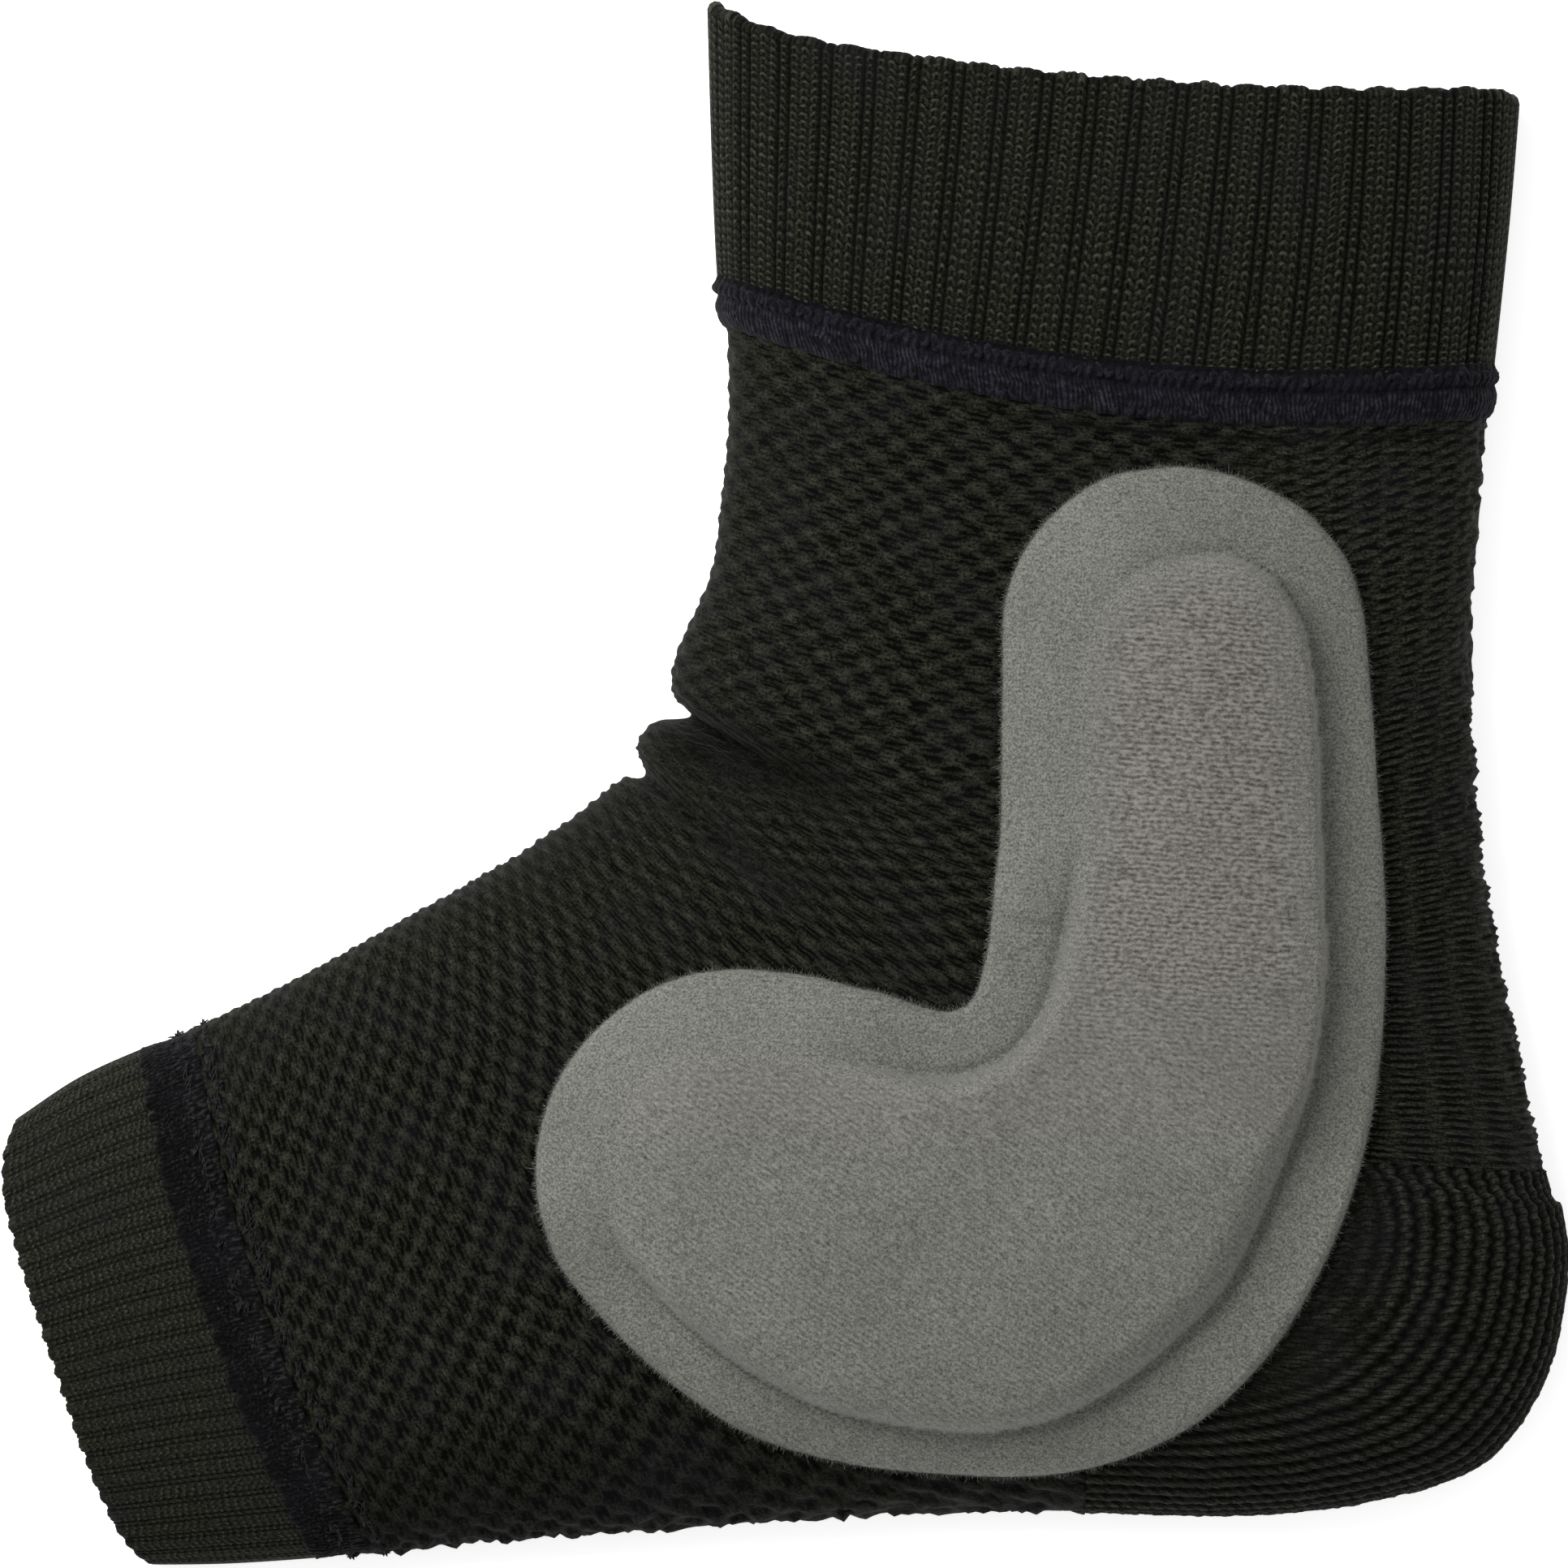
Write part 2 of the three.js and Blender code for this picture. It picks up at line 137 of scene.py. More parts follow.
def anglesFor(places, turns):  # turn 0 front fold, 1 back fold, over the top; 1 to 2 underneath
    fine = np.linspace(math.pi, -math.pi, 721)
    turns = np.broadcast_to(turns, (len(places), np.shape(turns)[-1]))
    angles = np.empty(turns.shape)
    for i, place in enumerate(places):
        ring = skin(np.full(721, place), fine)
        run = np.append(0, np.cumsum(np.linalg.norm(np.diff(ring, axis=0), axis=1)))
        share = np.where(run <= run[360], run / run[360], 1 + (run - run[360]) / (run[720] - run[360]))
        angles[i] = np.interp(np.mod(turns[i], 2), share, fine)
    return angles


def roundTurns(top, under):  # columns round the tube, closed in the middle of the underside
    half = under // 2
    return np.concatenate([np.linspace(-0.5, 0, half, endpoint=False),
                           np.linspace(0, 1, top, endpoint=False), np.linspace(1, 1.5, half + 1)])


def softNoise(x, y, seed):  # smooth random field, 0 to 1
    grid = np.random.default_rng(seed).random((101, 101))
    xi, yi = np.floor(x).astype(int), np.floor(y).astype(int)
    fx, fy = x - xi, y - yi
    fx, fy = fx * fx * (3 - 2 * fx), fy * fy * (3 - 2 * fy)
    a, b = grid[xi % 101, yi % 101], grid[(xi + 1) % 101, yi % 101]
    c, d = grid[xi % 101, (yi + 1) % 101], grid[(xi + 1) % 101, (yi + 1) % 101]
    return (a * (1 - fx) + b * fx) * (1 - fy) + (c * (1 - fx) + d * fx) * fy


def wallLines(start, end, outer, inner, rimStart=False, rimEnd=False):
    # place, inset, slide and relief share of each line along the wall: down the outside, back inside
    wall = brace["wall"]

    def across(at, way, rounded):
        if not rounded:
            return [(at, wall / 2, 0, 0)]
        return [(at, wall / 2 * (1 - math.cos(a)), way * wall / 2 * math.sin(a), math.cos(a / 2))
                for a in np.linspace(math.pi, 0, 6)[1:-1][::-way]]

    lines = [(p, 0, 0, 1) for p in np.linspace(start, end, outer + 1)] + across(end, 1, rimEnd)
    lines += [(p, wall, 0, 0) for p in np.linspace(end, start, inner + 1)] + across(start, -1, rimStart)
    return np.array(lines + lines[:1], float)


def putMesh(bm, mesh):
    bm.to_mesh(mesh)
    bm.free()
    return mesh


def editMesh(mesh):
    bm = bmesh.new()
    bm.from_mesh(mesh)
    return bm


def planeMesh(name, columns, lines):  # a plain grid, with each corner's line and column
    bm = bmesh.new()
    bmesh.ops.create_grid(bm, x_segments=columns, y_segments=lines, size=0.5)
    mesh = putMesh(bm, bpy.data.meshes.new(name))
    flat = np.empty(len(mesh.vertices) * 3, np.float32)
    mesh.vertices.foreach_get("co", flat)
    flat = flat.reshape(-1, 3) + 0.5
    return mesh, np.rint(flat[:, 1] * lines).astype(int), np.rint(flat[:, 0] * columns).astype(int)


def bendMesh(mesh, line, column, points, uv, fields):  # moves the grid's corners into place
    mesh.vertices.foreach_set("co", (points[line, column] * mm).astype(np.float32).ravel())
    corner = np.empty(len(mesh.loops), np.int32)
    mesh.loops.foreach_get("vertex_index", corner)
    layer = mesh.uv_layers.new(name="knit")
    layer.data.foreach_set("uv", uv[line[corner], column[corner]].astype(np.float32).ravel())
    for name, field in fields.items():
        spot = mesh.attributes.new(name, "FLOAT", "POINT")
        spot.data.foreach_set("value", field[line, column].astype(np.float32))


def finishPiece(mesh, name, node, material):
    mesh.shade_smooth()
    mesh.materials.append(material)
    piece = bpy.data.objects.new(name, mesh)
    bpy.context.scene.collection.objects.link(piece)
    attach(piece, "root")
    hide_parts(node)
    print(name, sum(len(p.vertices) - 2 for p in mesh.polygons), "triangles")
    return piece


def liftedPoints(base, height):  # moves each point outwards, and keeps it on the table
    normal = np.cross(np.gradient(base, axis=0), np.gradient(base, axis=1))
    normal /= np.maximum(np.linalg.norm(normal, axis=-1, keepdims=True), 1e-9)
    points = base + normal * height[..., None]
    points[..., 2] = np.maximum(points[..., 2], 0)
    return points


def knitShell(name, kit, pattern, **rims):  # a closed length of tube with knitted relief
    turns = roundTurns(*kit["turns"])
    lines = wallLines(*kit["span"], *kit["lines"], **rims)
    lines[:, 1] += kit.get("tuckIn", 0) * (lines[:, 1] < 1)
    place, inset, slide, share = lines.T
    height, uv, lift, slip = pattern(place[:, None], turns[None, :])
    along = ((place - place.min()) / np.ptp(place))[:, None]
    drift = kit.get("lean", 0) * np.sin(math.pi * np.clip(turns, 0, 1)) ** 1.5 * along
    angle = anglesFor(place, turns - drift)
    base = skin(np.repeat(place[:, None], len(turns), 1), angle, inset[:, None], slide[:, None] + slip)
    points = liftedPoints(base, height * share[:, None])
    points[:, -1] = points[:, 0]
    points[-1] = points[0]
    mesh, line, column = planeMesh(name, len(turns) - 1, len(lines) - 1)
    bendMesh(mesh, line, column, points, uv, {"lift": lift * np.maximum(share[:, None], 0.4)})
    bm = editMesh(mesh)
    bmesh.ops.remove_doubles(bm, verts=bm.verts, dist=2e-6)
    bmesh.ops.recalc_face_normals(bm, faces=bm.faces)
    return putMesh(bm, mesh)


class Finish:  # a material, with short ways to add its nodes
    def __init__(self, name, **sockets):
        self.material = bpy.data.materials.new(name)
        self.material.use_nodes = True
        self.nodes, self.links = self.material.node_tree.nodes, self.material.node_tree.links
        self.shader = self.nodes["Principled BSDF"]
        for socket, value in sockets.items():
            self.shader.inputs[socket.replace("_", " ")].default_value = value

    def add(self, kind, inputs=None, **values):  # an input is a value, or a socket to link
        node = self.nodes.new("ShaderNode" + kind)
        for key, value in values.items():
            setattr(node, key, value)
        for key, value in (inputs or {}).items():
            if isinstance(value, bpy.types.NodeSocket):
                self.links.new(value, node.inputs[key])
            else:
                node.inputs[key].default_value = value
        return node

    def field(self, name):
        return self.add("Attribute", attribute_name=name).outputs["Fac"]

    def math(self, operation, *values):
        return self.add("Math", dict(enumerate(values)), operation=operation).outputs[0]

    def parts(self, vector):
        outputs = self.add("SeparateXYZ", {0: vector}).outputs
        return outputs["X"], outputs["Y"]

    def mapped(self, vector, **inputs):
        return self.add("Mapping", {"Vector": vector, **inputs}).outputs["Vector"]

    def scaled(self, vector, size, start):
        return self.add("VectorMath", {0: vector, 1: size, 2: start}, operation="MULTIPLY_ADD").outputs[0]

    def spread(self, value, fromLow, fromHigh, toLow=0.0, toHigh=1.0):
        return self.add("MapRange", {"Value": value, "From Min": fromLow, "From Max": fromHigh,
                                     "To Min": toLow, "To Max": toHigh}).outputs["Result"]

    def noise(self, vector, scale, detail=2.0, rough=0.5, out="Fac"):
        return self.add("TexNoise", {"Vector": vector, "Scale": scale, "Detail": detail,
                                     "Roughness": rough}).outputs[out]

    def mix(self, factor, first, second, blend="MIX", kind="RGBA"):
        return self.add("Mix", {"Factor": factor, "A": first, "B": second},
                        data_type=kind, blend_type=blend).outputs["Result"]

    def steps(self, value, stops):
        ramp = self.add("ValToRGB", {"Fac": value})
        while len(ramp.color_ramp.elements) < len(stops):
            ramp.color_ramp.elements.new(0.5)
        for element, (at, colour) in zip(ramp.color_ramp.elements, stops):
            element.position = at
            element.color = (*colour, 1)
        return ramp.outputs["Color"]

    def done(self, colour, height, strength):  # colour and fine bump go to the shader
        self.links.new(colour, self.shader.inputs["Base Color"])
        bump = self.add("Bump", {"Strength": strength, "Distance": 0.00025, "Height": height})
        self.links.new(bump.outputs["Normal"], self.shader.inputs["Normal"])
        return self.material


# all yarns: stitches in one unit of UV, for ribs and for waffle, then fibres, tint and bump
yarn = {
    "ribUv": (160, 64), "waffleUv": (32, 128), "grainScale": 2600.0, "patchScale": 90.0,
    "tint": (0.009, 0.009, 0.0135, 1), "tintShare": 0.25, "bump": 0.5,
}


def stitchGaps(finish, knit, kit):  # painted shade in the gaps round the crown and between the legs of each stitch
    m = finish.math
    x, y = finish.parts(knit)
    across = m("SUBTRACT", m("FRACT", m("MULTIPLY", x, yarn["ribUv"][0])), 0.5)
    bend = m("MULTIPLY", m("MULTIPLY", across, across), kit["arch"])
    along = m("FRACT", m("SUBTRACT", m("MULTIPLY", y, yarn["ribUv"][1]), bend))
    crown = finish.spread(m("ABSOLUTE", m("SUBTRACT", along, 0.5)), 0.33, 0.5, 0.0, kit["line"])
    slit = m("MULTIPLY", finish.spread(m("ABSOLUTE", across), 0.2, 0.04),
             finish.spread(along, 0.4, 0.62, 0.0, kit["slit"]))
    return m("MAXIMUM", crown, slit)


def strandSlits(finish, knit, place):
    # painted shade in the slits between the waffle's floating strands, between ribs, and in gathered knit
    m, field = finish.math, finish.field
    moved = finish.scaled(knit, (*yarn["waffleUv"], 0), (-0.22, -0.42, 0))
    for scale, size in ((420.0, (0.3, 0.5, 0)), (1500.0, (0.14, 0.34, 0))):  # uneven yarn
        moved = finish.scaled(finish.noise(place, scale, out="Color"), size, moved)
    x, y = finish.parts(moved)
    cosX = m("COSINE", m("MULTIPLY", x, 2 * math.pi))
    cosY = m("COSINE", m("MULTIPLY", y, math.pi))
    strand = m("COSINE", m("ADD", m("MULTIPLY", y, 4 * math.pi), math.pi))
    recess = finish.spread(m("MULTIPLY", cosX, cosY), 0.3, -0.4)
    recess = m("MULTIPLY", recess, finish.spread(finish.noise(moved, 2.2), 0.3, 0.65, 0.35, 1.15))
    recess = m("MULTIPLY", m("MULTIPLY", recess, field("open")), 1.7)
    slits = finish.spread(m("ADD", strand, recess), 1.06, 1.93)
    uneven = m("MULTIPLY", finish.noise(place, 800.0), 0.5)
    rib = m("COSINE", m("MULTIPLY", m("ADD", field("rib"), uneven), 2 * math.pi))
    turned = m("COSINE", m("MULTIPLY", m("ADD", field("column"), uneven), math.pi))
    first = m("MULTIPLY", finish.spread(turned, -1, 1), m("ADD", rib, 0.8))
    second = m("MULTIPLY", finish.spread(turned, 1, -1), m("SUBTRACT", 0.8, rib))
    between = finish.spread(m("MAXIMUM", first, second), 0.66, 0.12)
    slanted = finish.mapped(place, Rotation=(0, 0, 0.45))
    dashes = finish.noise(finish.mapped(slanted, Scale=(480, 1350, 480)), 1.0)
    dashes = m("MULTIPLY", finish.spread(dashes, 0.48, 0.58), field("gather"))
    return m("MAXIMUM", m("MAXIMUM", slits, dashes), m("MULTIPLY", between, field("ribbed")))


def knitFinish(name, kit):  # yarn with painted shade between stitches and painted highlight on raised yarn, lighter fibres and faint tints
    finish = Finish(name, Roughness=0.85, Specular_IOR_Level=0.03, Sheen_Weight=0.05, Sheen_Roughness=0.45)
    place = finish.add("TexCoord").outputs["Object"]
    knit = finish.add("UVMap", uv_map="knit").outputs["UV"]
    lift = finish.field("lift")
    hair = finish.noise(finish.mapped(knit, Scale=(*kit["fibre"], 1)), 1.0, 3.0, 0.7)
    both = height = finish.math("MULTIPLY", hair, finish.noise(place, yarn["grainScale"], 2.0, 0.7))
    if kit["gaps"]:
        stitches = kit["gaps"] == "stitches"
        gaps = stitchGaps(finish, knit, kit) if stitches else strandSlits(finish, knit, place)
        lift = finish.math("MULTIPLY", lift, finish.spread(gaps, 0.0, 1.0, 1.0, 0.0))
        height = finish.math("SUBTRACT", both, gaps)
    # the gap colour is painted shade, the bright colour a painted highlight
    shade = finish.steps(lift, [(0.04, kit["gap"]), (0.6, kit["yarn"]), (1.0, kit["bright"])])
    fibres = finish.spread(both, 0.25 - kit["grain"], 0.25 + kit["grain"], 0.12, 1.88)
    patch = finish.spread(finish.noise(place, yarn["patchScale"]), 0.45, 0.75, 0.0, yarn["tintShare"])
    colour = finish.mix(patch, finish.mix(1.0, shade, fibres, "MULTIPLY"), yarn["tint"])
    return finish.done(colour, height, yarn["bump"])


# ribbed leg cuff: groups of four wales, one of them between two deep grooves
cuff = {
    "span": (0.06, 2.05), "lines": (158, 6), "turns": (400, 120), "lean": 0.027, "groups": (20, 18),
    "courses": 31.5, "ribDepth": 0.35, "shallow": 0.5, "dark": 0.96, "stitchDepth": 0.3, "scallop": 0.4,
    "rim": 0.06, "backShade": 0.0, "proud": 0.3, "fibre": (480, 130), "grain": 0.11, "gaps": "stitches",
    "arch": 1.3, "line": 0.8, "slit": 0.85, "gap": (0.0012, 0.0012, 0.0009),
    "yarn": (0.0115, 0.0117, 0.0081), "bright": (0.031, 0.031, 0.0232),
}
ribs = {"deepWide": 0.215, "shallowWide": 0.16, "foldCalm": 0.06, "unevenness": 1.3, "rimReach": 0.1}


def ribKnit(kit):
    start, end = kit["span"]

    def pattern(place, turn):
        top, under = kit["groups"]
        group = np.where(turn < 1, turn * np.where(turn < 0, under, top), top + (turn - 1) * under)
        wale = 4 * group + 0 * place
        x = wale - np.floor(wale) - 0.5
        course = (place - start) / (end - start) * kit["courses"]
        course = course + ribs["unevenness"] * (softNoise(wale * 0.7, course * 0.12, 5) - 0.5)
        crown = 0.5 + 0.5 * np.cos(2 * math.pi * (course - kit["arch"] * x**2 - 0.3))
        crown = crown * (1 - (1.6 * x) ** 2)
        q = wale % 4
        deep = np.minimum(np.abs(q - 2), np.abs(q - 3))  # grooves beside the third wale
        shallow = kit["shallow"] * np.exp(-(((0.5 - np.abs(x)) / ribs["shallowWide"]) ** 2))
        groove = np.maximum(np.exp(-((deep / ribs["deepWide"]) ** 2)), shallow)
        calm = ease(0, ribs["foldCalm"], np.abs(turn - np.rint(turn)))  # smoother at the folds
        depth = kit["proud"] - kit["ribDepth"] * groove * (0.4 + 0.6 * calm)
        depth = depth + kit["stitchDepth"] * (crown - 1) * calm
        # painted highlight on stitch crowns and painted shade in the grooves
        lift = (0.66 + 0.34 * crown) * (1 - kit["dark"] * groove * (0.45 + 0.55 * calm))
        # painted highlight along the folds, stronger over the top towards the back fold
        lift = lift * (1.15 - 0.15 * calm + 0.2 * ease(0.8, 1, turn) * (turn < 1.02))
        # painted shade over the top towards the back fold
        lift = lift * (1 - kit["backShade"] * ease(0.1, 0.7, turn))
        pinch = kit["scallop"] * (0.6 + 0.8 * softNoise(wale / 5, 0 * wale, 6))
        pinch = pinch * (0.5 + 0.5 * np.cos(math.pi / 2 * (q - 2.5)))
        pinch = pinch * np.exp(-np.abs(place - kit["rim"]) / ribs["rimReach"])
        uv = np.stack([wale / yarn["ribUv"][0], course / yarn["ribUv"][1]], -1)
        return depth, uv, lift, pinch if kit["rim"] == start else -pinch
    return pattern


cuffMesh = knitShell("cuffKnit", cuff, ribKnit(cuff), rimStart=True)
cuffPiece = finishPiece(cuffMesh, "cuffKnit", "cuff", knitFinish("cuffYarn", cuff))

# ribbed toe cuff, drawn in: narrow wales
toeCuff = {
    "span": (24.95, 26.95), "lines": (118, 5), "turns": (448, 100), "tuckIn": 0.4, "groups": (28, 26),
    "courses": 24, "ribDepth": 0.25, "shallow": 0.3, "dark": 0.75, "stitchDepth": 0.15, "scallop": 0.35,
    "rim": 26.95, "backShade": 0.12, "proud": 0.2, "fibre": (300, 130), "grain": 0.12, "gaps": "stitches",
    "arch": 0.8, "line": 0.5, "slit": 0.55, "gap": (0.003, 0.003, 0.0024),
    "yarn": (0.0139, 0.0138, 0.0102), "bright": (0.0302, 0.03, 0.0228),
}
toeMesh = knitShell("toeCuffKnit", toeCuff, ribKnit(toeCuff), rimEnd=True)
toePiece = finishPiece(toeMesh, "toeCuffKnit", "toe_cuff", knitFinish("toeYarn", toeCuff))

# overlocked seam: a slanting chain along its upper edge, threads over a rounded cord, loops at both edges
seam = {
    "span": (1.97, 3.03), "lines": (26, 2), "turns": (1000, 240), "threads": 190, "links": 96,
    "cord": (0.63, 0.4), "chain": (0.14, 0.13), "split": 0.29, "proud": 1.15, "depth": 0.16,
    "twist": 0.35, "knots": 0.3, "fibre": (900, 20), "grain": 0.14, "gaps": None,
    "gap": (0.0011, 0.0011, 0.0017), "yarn": (0.0082, 0.0079, 0.0108), "bright": (0.027, 0.026, 0.034),
}


def seamThreads(place, turn):
    across = place - 2.0 + 0 * turn
    wander = softNoise(turn * 60, across * 3, 11) - 0.5
    ridge = np.abs(np.cos(math.pi * (turn * seam["threads"] + 1.4 * wander)))
    knots = softNoise(turn * 150, across * 9, 12)
    cordAt, cordWide = seam["cord"]
    chainAt, chainWide = seam["chain"]
    cord = np.sqrt(np.clip(1 - ((across - cordAt) / cordWide) ** 2, 0, 1))
    chain = np.exp(-(((across - chainAt) / chainWide) ** 2))
    twist = np.abs(np.cos(math.pi * (turn * seam["links"] + across * 2.2 + 0.4 * wander)))
    below = np.exp(-(((across - seam["split"] - 0.06 * wander) / 0.05) ** 2))
    line = np.exp(-(((across + 0.02) / 0.06) ** 2))  # painted shadow lines on both sides of the chain
    # and a painted shadow line below the chain, stronger towards the back
    line = line + (0.1 + 0.4 * ease(0.3, 0.7, turn)) * below
    height = seam["proud"] * np.maximum(cord, 0.85 * chain) - seam["depth"] * (1 - ridge) * cord
    height += seam["twist"] * chain * (twist - 0.6) + seam["knots"] * (knots - 0.5)
    # painted highlight on the thread ridges and the chain's twists, darkened by the painted shadow lines
    threads = (0.3 + 0.55 * ridge) * (0.5 + 0.75 * knots)
    lift = np.where(across < seam["split"], 0.27 + 0.45 * twist * (0.3 + knots), threads) * (1 - 0.85 * line)
    return height, np.stack([turn * 5 + 0 * across, across * 0.3], -1), np.clip(lift, 0, 1), 0


seamMesh = knitShell("seamThread", seam, seamThreads)
seamFinish = knitFinish("overlockThread", seam)
seamPiece = finishPiece(seamMesh, "seamThread", "seam_band", seamFinish)


# loops of thread along the seam's edges: one small ring, laid again and again
def threadRing(thick):
    bm = bmesh.new()
    made = bmesh.ops.create_circle(bm, segments=5, radius=thick, cap_ends=False)
    edges = list({e for v in made["verts"] for e in v.link_edges})
    bmesh.ops.rotate(bm, verts=made["verts"], cent=(0, 0, 0), matrix=Matrix.Rotation(math.pi / 2, 3, "X"))
    bmesh.ops.translate(bm, verts=made["verts"], vec=(1, 0, 0))
    bmesh.ops.spin(bm, geom=made["verts"] + edges, cent=(0, 0, 0), axis=(0, 0, 1),
                   angle=2 * math.pi, steps=9, use_merge=True)
    bmesh.ops.recalc_face_normals(bm, faces=bm.faces)
    return putMesh(bm, bpy.data.meshes.new("threadRing"))


def threadLoops(name, node, material, kit):
    rng = np.random.default_rng(21)
    count = int(kit["girth"] / kit["pitch"])
    turns = np.linspace(-0.5, 1.5, count, endpoint=False) + rng.normal(0, 0.12, count) * 2 / count
    spots, beside, below = (skin(np.full((1, count), p), anglesFor([p], turns + t), -kit["proud"])[0]
                            for p, t in ((kit["place"], 0), (kit["place"], 0.004), (kit["place"] + 0.1, 0)))
    wide = kit["wide"]
    ring = threadRing(kit["thick"] / wide)
    bm = bmesh.new()
    for at, spot, side, down in zip(turns, spots, beside, below):
        across = Vector(side - spot).normalized()
        up = Vector(down - spot).cross(across).normalized()
        turn = Matrix((across, across.cross(up), up)).transposed().to_4x4()
        bm.from_mesh(ring)
        bm.verts.ensure_lookup_table()
        size = wide * max(0.4, rng.normal(1, 0.15)) * (1 - kit["small"] * (1 - ease(0.0, 0.35, at)))
        size *= 0.5 + 0.5 * ease(0.0, 0.05, abs(at - round(at)))  # pressed flat at the folds
        way = (Matrix.Translation(Vector(spot) * mm) @ turn
               @ Matrix.Rotation(kit["lean"] + rng.normal(0, kit["stray"]), 4, "Z")
               @ Matrix.Rotation(rng.normal(0, kit["stray"]), 4, "X")
               @ Matrix.Diagonal((size * mm, size * kit["long"] / wide * mm, wide * mm, 1)))
        bmesh.ops.transform(bm, matrix=way, verts=bm.verts[-len(ring.vertices):])
    for v in bm.verts:
        v.co.z = max(v.co.z, 0)
    mesh = putMesh(bm, bpy.data.meshes.new(name))
    bpy.data.meshes.remove(ring)
    spot = mesh.attributes.new("lift", "FLOAT", "POINT")
    spot.data.foreach_set("value", np.full(len(mesh.vertices), kit["bright"], np.float32))
    mesh.uv_layers.new(name="knit")
    return finishPiece(mesh, name, node, material)


upperLoops = threadLoops("seamUpperLoops", "seam_band", seamFinish, {
    "girth": 232, "place": 2.1, "pitch": 1.4, "long": 0.75, "wide": 0.4, "thick": 0.25, "lean": -0.75,
    "stray": 0.45, "proud": 0.6, "small": 0.25, "bright": 0.66})
lowerLoops = threadLoops("seamLowerLoops", "seam_band", seamFinish, {
    "girth": 232, "place": 2.88, "pitch": 1.65, "long": 0.68, "wide": 0.36, "thick": 0.28, "lean": -0.75,
    "stray": 0.25, "proud": 0.5, "small": 0.55, "bright": 0.68})

# joining band at the toe: fuzzy, fine ridges across
toeBand = {
    "span": (23.84, 25.03), "lines": (28, 2), "turns": (760, 160), "ridges": 130, "proud": 0.25,
    "depth": 0.2, "fuzz": 0.22, "fray": 1.1, "fibre": (600, 60), "grain": 0.12, "gaps": None,
    "gap": (0.0013, 0.0013, 0.0016), "yarn": (0.0048, 0.005, 0.005), "bright": (0.0184, 0.0187, 0.0184),
}


def toeBandThreads(place, turn):
    across = place - 24
    wander = softNoise(turn * 70 + 0 * place, across * 5, 31) - 0.5
    ridge = np.abs(np.cos(math.pi * (turn * toeBand["ridges"] + 1.5 * wander)))
    fuzz = softNoise(turn * 260 + 0 * place, across * 26, 32)
    calm = ease(0, 0.07, np.abs(turn - np.rint(turn)))
    height = toeBand["proud"] * (2 * calm - 1) + toeBand["depth"] * (ridge - 1) * calm
    height = height + toeBand["fuzz"] * (fuzz - 0.5)
    lift = 0.1 + 0.5 * ridge * fuzz + 0.6 * fuzz**2 + 0.3 * np.exp(-((across / 0.2) ** 2)) * fuzz
    lift = lift + 0.35 * ease(0.13, 0.0, np.abs(turn))
    edge = np.exp(-((across / 0.08) ** 2)) + np.exp(-(((across - 1) / 0.08) ** 2))
    fray = toeBand["fray"] * (softNoise(turn * 90 + 0 * place, across * 2, 33) - 0.5) * edge
    return height, np.stack(np.broadcast_arrays(turn * 4, across * 0.35), -1), np.clip(lift, 0, 1), fray


bandMesh = knitShell("toeBandThread", toeBand, toeBandThreads)
bandFinish = knitFinish("toeBandYarn", toeBand)
bandPiece = finishPiece(bandMesh, "toeBandThread", "toe_band", bandFinish)
toeLoops = [threadLoops("toeBandLoops" + end, "toe_band", bandFinish, {
    "girth": 158, "place": place, "pitch": 0.75, "long": 1.3, "wide": 0.22, "thick": 0.075, "lean": 1.85,
    "stray": 0.4, "proud": 0.0, "small": 0.0, "bright": 0.95})
    for end, place in (("Upper", 24.08), ("Lower", 23.72))]

